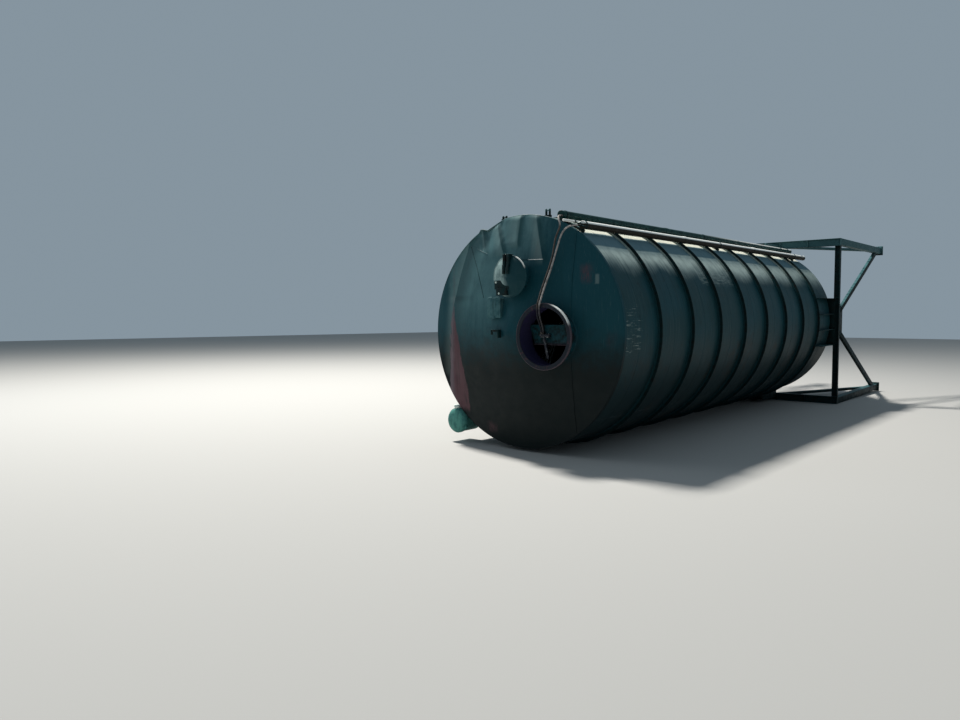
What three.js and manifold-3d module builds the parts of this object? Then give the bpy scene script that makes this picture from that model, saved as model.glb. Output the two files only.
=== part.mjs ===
// Cement silo lying on its side: a welded steel shell with hoops, a shallow roof with a filter neck,
// a hopper end and a square leg frame. Millimetres, +Z up, silo axis along +Y, roof end towards -Y.
import * as THREE from 'three';
import { mergeVertices } from 'three/addons/utils/BufferGeometryUtils.js';
import Module from 'manifold-3d';

const wasm = await Module();
wasm.setup();

// Driving dimensions of the vessel, measured from the roof rim along the silo axis
const SHELL_RADIUS = 1600;
const SHELL_LENGTH = 8850;
const SHELL_WALL = 6;
const SIDES = 48;
const QUARTER_STEPS = SIDES / 4;
const PIPE_SIDES = 16;
const GAP = 0.3;
const CUT_PAST = 100; // how far a cutting tool reaches past what it cuts

const HOOP_COUNT = 8;
const HOOP_FIRST = 900;
const HOOP_PITCH = 990;
const HOOP_HEIGHT = 65;
const HOOP_WIDTH = 14;
const HOOP_RADIUS = SHELL_RADIUS + HOOP_HEIGHT;
const SHELL_JOINT = HOOP_FIRST + 4 * HOOP_PITCH;

const ROOF_HEIGHT = 340;
const ROOF_PLATE = 6;
const ROOF_RIM_HEIGHT = 45;

// Filter neck on the roof
const NECK_X = 603;
const NECK_Z = -35;
const NECK_RADIUS = 385;
const NECK_WALL = 8;
const NECK_FRONT = -330;
const NECK_BACK = -60;
const NECK_LIP_RADIUS = 436;
const NECK_LIP = 12;
const CROSS_PLATE_Y = -130;
const CROSS_PLATE_LOW = -150;
const CROSS_PLATE_HEIGHT = 265;
const CROSS_PLATE_THICK = 8;
const CROSS_PLATE_FLANGE = 30;
const CROSS_PLATE_END = { high: 235, low: 330 };

// Pressure relief valve, hatch box and hook on the roof
const VALVE_X = 77;
const VALVE_Z = 761;
const VALVE_RADIUS = 264;
const VALVE_NECK = 190;
const VALVE_FRONT = -340;
const VALVE_RIM = 34;
const LID_OVERHANG = 12;
const LID_RISE = 75;
const LID_GUIDE = { half: 24, middles: [-48, 20], low: 30, past: 20, proud: 20 };
const LID_CLAMP = { left: -130, right: 20, low: -230, high: -30, proud: 12 };
const HATCH_X = -226;
const HATCH_Z = 345;
const HATCH_WIDTH = 232;
const HATCH_HEIGHT = 272;
const HATCH_FRONT = -330;
const HOOK_FRONT = -380;
const HOOK_DEPTH = 20;
const HOOK_POST = { left: -128, right: -104, low: -60 };
const HOOK_ARM = { left: -240, low: 20, high: 50 };
const HOOK_TIP = { right: -214, low: -20 };

// Lifting lugs on the shell beside the rim
const LUG_CHEEK = 12;
const LUG_SPREAD = 28;
const LUG_LENGTH = 38;
const LUG_FOOT_HALF = 45;
const LUG_FOOT_RISE = 30;
const LUG_START = 50;

// Hopper end
const OUTLET_RADIUS = 150;
const HOPPER_SLOPE = Math.PI / 3;
const HOPPER_WALL = 6;
const OUTLET_FLANGE_RADIUS = 215;
const OUTLET_FLANGE = 16;

// Square leg frame round the lower end
const FRAME_HALF = 1775;
const BEAM_DEPTH = 82;
const BEAM_FLANGE = 8;
const BEAM_WEB = 6;
const MAIN_BEAM_HEIGHT = 160;
const SIDE_BEAM_HEIGHT = 110;
const LEG_SIZE = 140;
const RING_Y = 8780;
const LEG_END = 12400;
const FOOT_SIZE = 220;
const FOOT_PLATE = 20;
const BRACE_DEPTH = 60;
const BRACE_WIDTH = 110;
const BRACE_ROOT_Z = 195;
const BRACE_START = 120;
const BRACE_SHORT = 160;
const GUSSET_LENGTH = 420;
const GUSSET_HALF = 340;
const GUSSET_THICK = 20;
const CONSOLE_START = 7850;
const CONSOLE_OUT = 1700;
const CONSOLE_RIB = 10;
const CONSOLE_RIB_Z = [-495, -165, 165, 495];
const CONSOLE_END_PLATE = 14;

// Impact pot at the roof end of the fill pipe
const POT_RADIUS = 175;
const POT_AXIS = 1798;
const POT_START = -75;
const POT_END = 335;
const POT_STUB_RADIUS = 55;
const POT_STUB_Y = 170;
const CLAMP_RADIUS = 58;
const CLAMP_HEIGHT = 50;
const CLAMP_X = -25;
const CLAMP_Y = 25;

// Pipes that run along the shell: the top and side pipes in notches of the hoops, at NOTCH_AXIS
// from the silo axis, the conduit and the fill pipe on the hoops
const NOTCH_AXIS = 1687;
const TOP_PIPE = { radius: 52, angle: 22.2, start: 20, end: 9050, axis: NOTCH_AXIS };
const SIDE_PIPE = { radius: 52, angle: 33.6, start: 80, end: 9050, axis: NOTCH_AXIS };
const CONDUIT = { radius: 16, angle: 30.5, start: -235, end: 9120 };
const FILL_PIPE = { radius: 50, angle: 222.3, start: POT_END + GAP, end: 9500 };
const SADDLE_PLACES = [120, 4415, 8375];
const SADDLE_HALF = 210;
const SADDLE_LENGTH = 40;

// Hoses that hang down over the roof into the neck
const HOSE_RADIUS = 11;
const HOSE_SIDES = 8;
const HOSE_STEP = 55;
const COUPLING = { left: 438, right: 594, depth: 52, low: -52, high: -12 };
const DROP_PIPE = { radius: 20, length: 290, lean: -13, x: 545, z: -190 };

const silo = new THREE.Group();

const PAINT = { color: 0x1f4a45, roughness: 0.62, metalness: 0.1 };
const PALE_PAINT = { color: 0x4f7870, roughness: 0.7, metalness: 0.1 };
const ZINC = { color: 0xb9bcb8, roughness: 0.45, metalness: 0.9 };
const OXIDE = { color: 0x6b4a50, roughness: 0.8, metalness: 0.1 };
const HOSE = { color: 0xa9a7a0, roughness: 0.7, metalness: 0.0 };

function add(name, geometry, finish, parent = silo) {
  const mesh = new THREE.Mesh(geometry, new THREE.MeshStandardMaterial(finish));
  mesh.name = name;
  parent.add(mesh);
  return mesh;
}

// Booleans: a closed geometry becomes a solid, and a solid becomes a geometry again
function toSolid(geometry) {
  const bare = geometry.clone();
  bare.deleteAttribute('normal');
  bare.deleteAttribute('uv');
  const merged = mergeVertices(bare, 1e-3);
  const mesh = new wasm.Mesh({
    numProp: 3,
    vertProperties: new Float32Array(merged.attributes.position.array),
    triVerts: new Uint32Array(merged.index.array),
  });
  return new wasm.Manifold(mesh);
}

function toGeometry(solid) {
  const mesh = solid.getMesh();
  const geometry = new THREE.BufferGeometry();
  geometry.setAttribute('position', new THREE.BufferAttribute(mesh.vertProperties, 3));
  geometry.setIndex(new THREE.BufferAttribute(mesh.triVerts, 1));
  return geometry;
}

function fuse(geometries) {
  const solids = geometries.map(toSolid);
  return toGeometry(solids.reduce((whole, piece) => whole.add(piece)));
}

function cut(geometry, tools) {
  const start = toSolid(geometry);
  return toGeometry(tools.map(toSolid).reduce((whole, tool) => whole.subtract(tool), start));
}

// A flat shape in the X-Z plane, extruded along the silo axis from y0 to y1; an arc in it gets
// twice curveSegments steps
function alongAxis(shape, y0, y1, curveSegments) {
  const options = { depth: y1 - y0, bevelEnabled: false, curveSegments };
  const geometry = new THREE.ExtrudeGeometry(shape, options);
  geometry.rotateX(Math.PI / 2);
  geometry.translate(0, y1, 0);
  return geometry;
}

function block(x0, x1, y0, y1, z0, z1) {
  const geometry = new THREE.BoxGeometry(x1 - x0, y1 - y0, z1 - z0);
  geometry.translate((x0 + x1) / 2, (y0 + y1) / 2, (z0 + z1) / 2);
  return geometry;
}

function discAlong(radius, y0, y1, sides, x = 0, z = 0) {
  const geometry = new THREE.CylinderGeometry(radius, radius, y1 - y0, sides);
  geometry.translate(x, (y0 + y1) / 2, z);
  return geometry;
}

function tubeProfile(outer, inner, y0, y1) {
  return [[inner, y0], [outer, y0], [outer, y1], [inner, y1], [inner, y0]];
}

function turned(points, sides = SIDES) {
  return new THREE.LatheGeometry(points.map(([r, y]) => new THREE.Vector2(r, y)), sides);
}

function ring(outer, inner, y0, y1, sides = SIDES) {
  return turned(tubeProfile(outer, inner, y0, y1), sides);
}

// Place round the silo: angle in degrees from the top towards +X
function around(radius, angle) {
  const turn = THREE.MathUtils.degToRad(angle);
  return { x: radius * Math.sin(turn), z: radius * Math.cos(turn), turn };
}

// Shell: two rings of four rolled plates, joined under the fifth hoop
function shellPlate(start, end, quarter) {
  const seam = GAP / 2 / SHELL_RADIUS;
  const from = Math.PI / 4 + quarter * Math.PI / 2 + seam;
  const to = from + Math.PI / 2 - 2 * seam;
  const shape = new THREE.Shape();
  shape.absarc(0, 0, SHELL_RADIUS, from, to, false);
  shape.absarc(0, 0, SHELL_RADIUS - SHELL_WALL, to, from, true);
  return alongAxis(shape, start, end, QUARTER_STEPS / 2);
}

const PLATE_SIDES = ['top', 'left', 'bottom', 'right'];
PLATE_SIDES.forEach((side, quarter) => {
  add(`shell_upper_${side}`, shellPlate(0, SHELL_JOINT - GAP / 2, quarter), PAINT);
  add(`shell_lower_${side}`, shellPlate(SHELL_JOINT + GAP / 2, SHELL_LENGTH, quarter), PAINT);
});

// Hoops: flat bars on edge, notched where the top and side pipes cross them
for (let i = 0; i < HOOP_COUNT; i += 1) {
  const start = HOOP_FIRST + i * HOOP_PITCH - HOOP_WIDTH / 2;
  const end = start + HOOP_WIDTH;
  const notches = [TOP_PIPE, SIDE_PIPE].map((pipe) => {
    const seat = around(pipe.axis, pipe.angle);
    const tool = [pipe.radius + 2 * GAP, start - CUT_PAST, end + CUT_PAST];
    return discAlong(...tool, PIPE_SIDES, seat.x, seat.z);
  });
  add(`hoop_${i + 1}`, cut(ring(HOOP_RADIUS, SHELL_RADIUS + GAP, start, end), notches), PAINT);
}

// Roof: a shallow cone of welded plate in two halves, cut out for the neck
function roofHeightAt(radius) {
  return -ROOF_HEIGHT * (1 - radius / SHELL_RADIUS);
}

function roofCone() {
  const outside = [];
  const inside = [];
  [0, 0.3, 0.6, 0.85, 1].forEach((share) => {
    const radius = share * SHELL_RADIUS;
    outside.push([radius, roofHeightAt(radius) - ROOF_PLATE - GAP]);
    inside.unshift([radius, roofHeightAt(radius) - GAP]);
  });
  return turned([...outside, ...inside]);
}

function roofHalf(side) {
  const front = -ROOF_HEIGHT - CUT_PAST;
  const out = SHELL_RADIUS + CUT_PAST;
  const neckHole = discAlong(NECK_RADIUS + 2 * GAP, front, CUT_PAST, SIDES, NECK_X, NECK_Z);
  const otherHalf = side > 0
    ? block(-out, GAP / 2, front, CUT_PAST, -out, out)
    : block(-GAP / 2, out, front, CUT_PAST, -out, out);
  return cut(roofCone(), [neckHole, otherHalf]);
}

add('roof_left', roofHalf(-1), PAINT);
add('roof_right', roofHalf(1), PAINT);
add('roof_rim', ring(SHELL_RADIUS + 10, SHELL_RADIUS + GAP, -ROOF_PLATE, ROOF_RIM_HEIGHT), PAINT);

// Filter neck: tube through the roof, rolled lip, and a cross plate with a folded lower edge
const neck = new THREE.Group();
neck.position.set(NECK_X, 0, NECK_Z);
silo.add(neck);

const neckInside = NECK_RADIUS - NECK_WALL;
add('neck_tube', ring(NECK_RADIUS, neckInside, NECK_FRONT, NECK_BACK), PAINT, neck);
add('neck_lip', ring(NECK_LIP_RADIUS, neckInside, NECK_FRONT - NECK_LIP, NECK_FRONT - GAP), OXIDE, neck);

function crossPlate() {
  const low = CROSS_PLATE_LOW - NECK_Z;
  const high = low + CROSS_PLATE_HEIGHT;
  const endLow = CROSS_PLATE_END.low - NECK_X;
  const endHigh = CROSS_PLATE_END.high - NECK_X;
  const back = CROSS_PLATE_Y + CROSS_PLATE_THICK;
  const foldFront = CROSS_PLATE_Y - CROSS_PLATE_FLANGE;
  const outline = new THREE.Shape();
  outline.moveTo(endLow, low);
  outline.lineTo(NECK_RADIUS, low);
  outline.lineTo(NECK_RADIUS, high);
  outline.lineTo(endHigh, high);
  const web = alongAxis(outline, CROSS_PLATE_Y, back, 1);
  const fold = block(endLow, NECK_RADIUS, foldFront, back - GAP, low, low + CROSS_PLATE_THICK);
  const bore = discAlong(neckInside - GAP, foldFront - CUT_PAST, back + CUT_PAST, SIDES);
  return toGeometry(toSolid(fuse([web, fold])).intersect(toSolid(bore)));
}
add('neck_cross_plate', crossPlate(), PALE_PAINT, neck);

// Relief valve: a neck with a flange, and a domed lid with two guide bars and a clamp
function roofTool() {
  const surface = [0, 0.3, 0.6, 0.85, 1].map((share) => {
    const radius = share * SHELL_RADIUS;
    return [radius, roofHeightAt(radius) - ROOF_PLATE - 2 * GAP];
  });
  return turned([...surface, [SHELL_RADIUS, ROOF_HEIGHT], [0, ROOF_HEIGHT]]);
}

function onRoof(geometry) {
  return cut(geometry, [roofTool()]);
}

function valveDrum() {
  const back = VALVE_FRONT + VALVE_RIM;
  const drum = turned([
    [0, VALVE_FRONT],
    [VALVE_RADIUS, VALVE_FRONT],
    [VALVE_RADIUS, back],
    [VALVE_NECK, back],
    [VALVE_NECK, 0],
    [0, 0],
  ], 32);
  drum.translate(VALVE_X, 0, VALVE_Z);
  return onRoof(drum);
}
add('relief_valve_drum', valveDrum(), PAINT);

const valve = new THREE.Group();
valve.position.set(VALVE_X, 0, VALVE_Z);
silo.add(valve);

function valveLid() {
  const radius = VALVE_RADIUS + LID_OVERHANG;
  const crown = VALVE_FRONT - LID_RISE;
  const lid = turned([
    [0, crown],
    [radius * 0.45, VALVE_FRONT - LID_RISE * 0.85],
    [radius * 0.8, VALVE_FRONT - LID_RISE * 0.45],
    [radius, VALVE_FRONT - 8],
    [radius, VALVE_FRONT - GAP],
    [0, VALVE_FRONT - GAP],
  ], 32);
  const sunk = VALVE_FRONT - 4;
  const guides = LID_GUIDE.middles.map((x) => block(
    x - LID_GUIDE.half, x + LID_GUIDE.half, crown - LID_GUIDE.proud, sunk,
    LID_GUIDE.low, radius + LID_GUIDE.past,
  ));
  const clamp = block(
    LID_CLAMP.left, LID_CLAMP.right, crown - LID_CLAMP.proud, sunk, LID_CLAMP.low, LID_CLAMP.high,
  );
  return fuse([lid, ...guides, clamp]);
}
add('relief_valve_lid', valveLid(), PALE_PAINT, valve);

add('roof_hatch_box', onRoof(block(
  HATCH_X - HATCH_WIDTH / 2, HATCH_X + HATCH_WIDTH / 2, HATCH_FRONT, 0,
  HATCH_Z - HATCH_HEIGHT / 2, HATCH_Z + HATCH_HEIGHT / 2,
)), PALE_PAINT);

function roofHook() {
  const back = HOOK_FRONT + HOOK_DEPTH;
  const { left, low, high } = HOOK_ARM;
  const post = block(HOOK_POST.left, HOOK_POST.right, HOOK_FRONT, 0, HOOK_POST.low, high);
  const arm = block(left, HOOK_POST.right - 6, HOOK_FRONT, back, low, high);
  const tip = block(left, HOOK_TIP.right, HOOK_FRONT, back, HOOK_TIP.low, high);
  return onRoof(fuse([post, arm, tip]));
}
add('roof_hook', roofHook(), PAINT);

// A lifting lug: two cheeks on a foot, which follows the shell
function liftingLug(x, rise) {
  const skin = Math.sqrt(SHELL_RADIUS ** 2 - x ** 2);
  const low = skin - CUT_PAST;
  const start = LUG_START + 5;
  const cheeks = [-LUG_SPREAD, LUG_SPREAD].map((side) => block(
    x + side - LUG_CHEEK / 2, x + side + LUG_CHEEK / 2, start, start + LUG_LENGTH, low, skin + rise,
  ));
  const foot = block(
    x - LUG_FOOT_HALF, x + LUG_FOOT_HALF, LUG_START, start + LUG_LENGTH + 5, low, skin + LUG_FOOT_RISE,
  );
  return cut(fuse([...cheeks, foot]), [discAlong(SHELL_RADIUS + GAP, 0, 4 * CUT_PAST, SIDES)]);
}
add('lifting_lug_right', liftingLug(400, 112), PAINT);
add('lifting_lug_left', liftingLug(-340, 70), PAINT);

// Hopper cone and outlet flange
const hopperStart = SHELL_LENGTH + GAP;
const hopperEnd = hopperStart + (SHELL_RADIUS - OUTLET_RADIUS) * Math.tan(HOPPER_SLOPE);
const hopperWallAcross = HOPPER_WALL / Math.sin(HOPPER_SLOPE);
add('hopper_cone', turned([
  [SHELL_RADIUS - hopperWallAcross, hopperStart],
  [SHELL_RADIUS, hopperStart],
  [OUTLET_RADIUS, hopperEnd],
  [OUTLET_RADIUS - hopperWallAcross, hopperEnd],
  [SHELL_RADIUS - hopperWallAcross, hopperStart],
]), PAINT);
add('outlet_flange', ring(OUTLET_FLANGE_RADIUS, OUTLET_RADIUS - hopperWallAcross,
  hopperEnd + GAP, hopperEnd + OUTLET_FLANGE, 24), PAINT);

// Leg frame: square ring of I-beams, four legs with foot plates, and a pair of braces on each side
const SIDE_TURNS = { right: 0, top: -90, left: 180, bottom: 90 };
const ringEnd = RING_Y + BEAM_DEPTH;

// A beam drawn for the right side of the frame: flanges in and out, web across the silo
function ringBeam(height, halfLength) {
  const inside = FRAME_HALF - height;
  const flanges = [inside, FRAME_HALF - BEAM_FLANGE].map((x) => block(
    x, x + BEAM_FLANGE, RING_Y, ringEnd, -halfLength, halfLength,
  ));
  const webStart = RING_Y + (BEAM_DEPTH - BEAM_WEB) / 2;
  const web = block(inside + 1, FRAME_HALF - 1, webStart, webStart + BEAM_WEB, -halfLength, halfLength);
  return fuse([...flanges, web]);
}

Object.entries(SIDE_TURNS).forEach(([side, degrees]) => {
  const upright = side === 'right' || side === 'left';
  const geometry = upright
    ? ringBeam(SIDE_BEAM_HEIGHT, FRAME_HALF - MAIN_BEAM_HEIGHT - GAP)
    : ringBeam(MAIN_BEAM_HEIGHT, FRAME_HALF);
  add(`ring_beam_${side}`, geometry, PAINT).rotation.y = THREE.MathUtils.degToRad(degrees);
});

const CORNERS = { top_right: [1, 1], top_left: [-1, 1], bottom_right: [1, -1], bottom_left: [-1, -1] };
const legMiddle = FRAME_HALF - LEG_SIZE / 2;
const legInner = FRAME_HALF - LEG_SIZE;
Object.entries(CORNERS).forEach(([corner, [sx, sz]]) => {
  const leg = new THREE.Group();
  leg.position.set(sx * legMiddle, 0, sz * legMiddle);
  silo.add(leg);
  const half = LEG_SIZE / 2;
  const foot = FOOT_SIZE / 2;
  const tube = block(-half, half, ringEnd + GAP, LEG_END + FOOT_PLATE / 2, -half, half);
  const plate = block(-foot, foot, LEG_END, LEG_END + FOOT_PLATE, -foot, foot);
  add(`leg_${corner}`, fuse([tube, plate]), PAINT, leg);
});

// One brace pair, drawn for the right side of the frame and turned to the other three
function bracePair() {
  const from = new THREE.Vector2(ringEnd + BRACE_START, BRACE_ROOT_Z);
  const to = new THREE.Vector2(LEG_END - BRACE_SHORT, legMiddle);
  const run = to.clone().sub(from);
  const arms = [-1, 1].map((side) => {
    const arm = new THREE.BoxGeometry(BRACE_DEPTH, run.length(), BRACE_WIDTH);
    arm.rotateX(side * Math.atan2(run.y, run.x));
    arm.translate(legMiddle, (from.x + to.x) / 2, side * (from.y + to.y) / 2);
    return arm;
  });
  const gusset = block(
    legMiddle - GUSSET_THICK / 2, legMiddle + GUSSET_THICK / 2,
    ringEnd + GAP, ringEnd + GUSSET_LENGTH, -GUSSET_HALF, GUSSET_HALF,
  );
  const out = FRAME_HALF + CUT_PAST;
  const legs = [-1, 1].map((side) => {
    const z0 = side > 0 ? legInner - GAP : -out;
    const z1 = side > 0 ? out : -legInner + GAP;
    return block(legInner - CUT_PAST, out, ringEnd - CUT_PAST, LEG_END + CUT_PAST, z0, z1);
  });
  return cut(fuse([...arms, gusset]), legs);
}

// Console: ribs on the shell, tied by an end plate, that carry the ring beam at mid side
function consoleFrame() {
  const cover = discAlong(SHELL_RADIUS + GAP, CONSOLE_START - CUT_PAST, ringEnd, SIDES);
  const reach = RING_Y - GAP;
  const inside = SHELL_RADIUS - 1.2 * CUT_PAST;
  const ribs = CONSOLE_RIB_Z.map((z) => block(
    inside, CONSOLE_OUT, CONSOLE_START, reach, z - CONSOLE_RIB / 2, z + CONSOLE_RIB / 2,
  ));
  const low = CONSOLE_RIB_Z[0];
  const endPlate = block(inside, CONSOLE_OUT - 6, reach - CONSOLE_END_PLATE, reach, low, -low);
  return cut(fuse([...ribs, endPlate]), [cover]);
}

Object.entries(SIDE_TURNS).forEach(([side, degrees]) => {
  const turn = THREE.MathUtils.degToRad(degrees);
  add(`brace_pair_${side}`, bracePair(), PAINT).rotation.y = turn;
  add(`console_${side}`, consoleFrame(), PAINT).rotation.y = turn;
});

// Pipes along the shell. One without an axis distance rests on a straight side of the hoops, one
// corner of the pipe down
function pipeSeat(pipe) {
  if (pipe.axis) return { ...around(pipe.axis, pipe.angle), radius: pipe.axis, roll: 0 };
  const step = 360 / SIDES;
  const flatAngle = (Math.floor(pipe.angle / step) + 0.5) * step;
  const flatRadius = HOOP_RADIUS * Math.cos(Math.PI / SIDES);
  const off = THREE.MathUtils.degToRad(pipe.angle - flatAngle);
  const radius = (flatRadius + GAP + pipe.radius) / Math.cos(off);
  return { ...around(radius, pipe.angle), radius, roll: THREE.MathUtils.degToRad(flatAngle) };
}

function runPipe(name, pipe, sides, finish) {
  const seat = pipeSeat(pipe);
  const mesh = add(name, discAlong(pipe.radius, pipe.start, pipe.end, sides), finish);
  mesh.position.set(seat.x, 0, seat.z);
  mesh.rotation.y = seat.roll;
}
runPipe('top_pipe', TOP_PIPE, PIPE_SIDES, PAINT);
runPipe('side_pipe', SIDE_PIPE, PIPE_SIDES, PAINT);
runPipe('conduit', CONDUIT, 10, ZINC);
runPipe('fill_pipe', FILL_PIPE, PIPE_SIDES, PAINT);

// Saddles under the top and side pipes, welded to the shell between hoops
const saddleTurn = around(1, (TOP_PIPE.angle + SIDE_PIPE.angle) / 2).turn;
const saddleTop = Math.min(...[TOP_PIPE, SIDE_PIPE].map((pipe) => {
  const seat = pipeSeat(pipe);
  return seat.radius * Math.cos(seat.turn - saddleTurn) - pipe.radius - GAP;
}));
SADDLE_PLACES.forEach((y, i) => {
  const half = SADDLE_LENGTH / 2;
  const geometry = block(-SADDLE_HALF, SADDLE_HALF, -half, half, SHELL_RADIUS + GAP, saddleTop);
  const mesh = add(`pipe_saddle_${i + 1}`, geometry, PAINT);
  mesh.position.y = y;
  mesh.rotation.y = saddleTurn;
});

// Impact pot at the roof end of the fill pipe, with the clamp on its upper branch and its stub
const pot = around(POT_AXIS, FILL_PIPE.angle);
const potSolid = discAlong(POT_RADIUS, POT_START, POT_END, 24);
add('impact_pot', potSolid, PALE_PAINT).position.set(pot.x, 0, pot.z);

function potClamp() {
  const clamp = new THREE.CylinderGeometry(CLAMP_RADIUS, CLAMP_RADIUS, POT_RADIUS + CLAMP_HEIGHT, 16);
  clamp.rotateX(Math.PI / 2);
  clamp.translate(CLAMP_X, CLAMP_Y, (POT_RADIUS + CLAMP_HEIGHT) / 2);
  return cut(clamp, [discAlong(POT_RADIUS + GAP, POT_START - CUT_PAST, POT_END + CUT_PAST, 24)]);
}
add('pot_clamp', potClamp(), ZINC).position.set(pot.x, 0, pot.z);

function potStub() {
  const stub = new THREE.CylinderGeometry(POT_STUB_RADIUS, POT_STUB_RADIUS, 200, 16);
  stub.rotateX(Math.PI / 2);
  stub.translate(0, POT_STUB_Y, SHELL_RADIUS + 60);
  stub.rotateY(pot.turn);
  const shell = discAlong(SHELL_RADIUS + GAP, POT_START - CUT_PAST, POT_END + CUT_PAST, SIDES);
  const drum = discAlong(POT_RADIUS + GAP, POT_START - CUT_PAST, POT_END + CUT_PAST, 24, pot.x, pot.z);
  return cut(stub, [shell, drum]);
}
add('pot_stub', potStub(), PAINT);

// Hoses: route points by hand, from the pipe end down over the roof and into the neck
const HOSE_ROUTES = {
  hose_left: [
    [661, 19.7, 1538], [661, -24, 1538], [672, -72, 1527], [696, -112, 1500], [722, -134, 1458],
    [738, -139, 1414], [733, -142, 1368], [713, -144, 1322], [684, -146, 1262], [664, -149, 1190],
    [650, -155, 1100], [636, -166, 1000], [609, -188, 880], [581, -220, 760], [558, -262, 640],
    [548, -308, 530], [547, -344, 448], [542, -362, 400], [531, -362, 352], [512, -338, 290],
    [490, -296, 220], [468, -228, 140], [456, -180, 76], [454, -164, 28], [454, -164, -11.7],
  ],
  hose_right: [
    [905, 79.7, 1397], [905, 34, 1397], [898, -8, 1397], [882, -50, 1391], [860, -90, 1380],
    [832, -120, 1360], [802, -138, 1330], [772, -146, 1288], [746, -150, 1232], [724, -153, 1170],
    [698, -158, 1090], [671, -166, 1000], [644, -188, 880], [618, -220, 760], [596, -262, 640],
    [584, -308, 530], [580, -344, 448], [574, -362, 400], [564, -362, 352], [549, -338, 290],
    [528, -296, 220], [504, -228, 140], [489, -180, 76], [484, -164, 28], [484, -164, -11.7],
  ],
};

function hose(points) {
  const curve = new THREE.CatmullRomCurve3(points.map((p) => new THREE.Vector3(...p)), false, 'centripetal');
  const section = new THREE.Shape();
  for (let i = 0; i < HOSE_SIDES; i += 1) {
    const turn = (i / HOSE_SIDES) * 2 * Math.PI;
    const point = [HOSE_RADIUS * Math.cos(turn), HOSE_RADIUS * Math.sin(turn)];
    if (i === 0) section.moveTo(...point);
    else section.lineTo(...point);
  }
  const steps = Math.round(curve.getLength() / HOSE_STEP);
  return new THREE.ExtrudeGeometry(section, { steps, extrudePath: curve, bevelEnabled: false });
}
Object.entries(HOSE_ROUTES).forEach(([name, points]) => add(name, hose(points), HOSE));

// Hose coupling on the cross plate, where both hoses end, and the pipe that hangs from it
function hoseCoupling() {
  const { left, right, depth, low, high } = COUPLING;
  const body = block(left, right, CROSS_PLATE_Y - depth, CROSS_PLATE_Y - GAP, low, high);
  const drop = new THREE.CylinderGeometry(DROP_PIPE.radius, DROP_PIPE.radius, DROP_PIPE.length, 12);
  drop.rotateX(Math.PI / 2);
  drop.rotateY(THREE.MathUtils.degToRad(DROP_PIPE.lean));
  drop.translate(DROP_PIPE.x, CROSS_PLATE_Y - CROSS_PLATE_FLANGE - DROP_PIPE.radius - 1, DROP_PIPE.z);
  return fuse([body, drop]);
}
add('hose_coupling', hoseCoupling(), ZINC);

// The silo lies with its first hoop and the near edge of the ring beam on the ground
const tilt = Math.atan2(FRAME_HALF - HOOP_RADIUS, RING_Y - HOOP_FIRST);
silo.rotation.x = tilt;
const object = new THREE.Group();
object.add(silo);
object.updateMatrixWorld(true);
const extent = new THREE.Box3().setFromObject(object, true);
const centre = extent.getCenter(new THREE.Vector3());
object.position.set(-centre.x, -centre.y, -extent.min.z);

export default object;
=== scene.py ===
"""Cement silo lying on its side: weathered shell, buckled roof, hoops, leg frame, pipes and hoses."""
import math
import random

import bmesh
import bpy
from bpy.props import FloatProperty, FloatVectorProperty, IntProperty, PointerProperty
from mathutils import Matrix, Vector, noise


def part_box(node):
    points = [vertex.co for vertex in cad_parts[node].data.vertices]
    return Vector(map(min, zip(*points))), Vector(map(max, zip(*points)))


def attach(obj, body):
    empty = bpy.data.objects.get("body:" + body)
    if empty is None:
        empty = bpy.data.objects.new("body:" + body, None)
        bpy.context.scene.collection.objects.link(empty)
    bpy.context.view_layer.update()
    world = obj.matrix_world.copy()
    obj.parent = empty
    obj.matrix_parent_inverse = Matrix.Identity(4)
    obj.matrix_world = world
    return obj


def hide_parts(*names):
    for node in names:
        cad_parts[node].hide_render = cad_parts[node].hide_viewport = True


bl_info = {
    "name": "Cement silo on its side",
    "version": (1, 0, 0),
    "blender": (4, 5, 0),
    "location": "3D View > Sidebar > Silo",
    "description": "Dresses a cement silo: weathered shell, buckled roof, leg frame, pipes and hoses",
    "category": "Object",
}

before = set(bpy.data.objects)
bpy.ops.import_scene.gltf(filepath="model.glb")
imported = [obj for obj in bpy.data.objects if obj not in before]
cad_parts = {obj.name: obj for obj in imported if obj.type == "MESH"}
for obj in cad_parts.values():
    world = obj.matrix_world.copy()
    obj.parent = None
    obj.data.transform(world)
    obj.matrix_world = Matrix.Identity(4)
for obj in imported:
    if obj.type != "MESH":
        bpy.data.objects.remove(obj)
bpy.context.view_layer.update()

# Hoops: how many, and where along the silo they are in metres
HOOP_COUNT = 8
HOOP_FIRST = 0.900
HOOP_PITCH = 0.990
HOOPS = [HOOP_FIRST + i * HOOP_PITCH for i in range(HOOP_COUNT)]


def middle(node):
    low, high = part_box(node)
    return (Vector(low) + Vector(high)) / 2


def size(node):
    low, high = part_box(node)
    return Vector(high) - Vector(low)


# Where the silo lies: its pieces are drawn with the roof rim's middle at the origin, the axis along Y
# and the shell's top at +Z, and LIE takes them to the row frame
FIRST_MIDDLE = middle("hoop_1")
AXIS = (middle("hoop_8") - FIRST_MIDDLE).normalized()
TILT = math.asin(AXIS.z)
RIM_MIDDLE = FIRST_MIDDLE - AXIS * HOOP_FIRST
LIE = Matrix.Translation(RIM_MIDDLE) @ Matrix.Rotation(TILT, 4, "X")


def seat(node):
    """The middle of a CAD node in the silo's own place."""
    return LIE.inverted() @ middle(node)


def axis_of(node):
    """Where the middle line of a pipe along the silo meets the rim's plane."""
    place = seat(node)
    return (place.x, 0.0, place.z)


def radius_of(place):
    """How far a place is from the silo's axis."""
    return math.hypot(place.x, place.z)


def angle_of(place):
    """The angle of a place round the silo, from its top towards +X."""
    return math.atan2(place.x, place.z)


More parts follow.
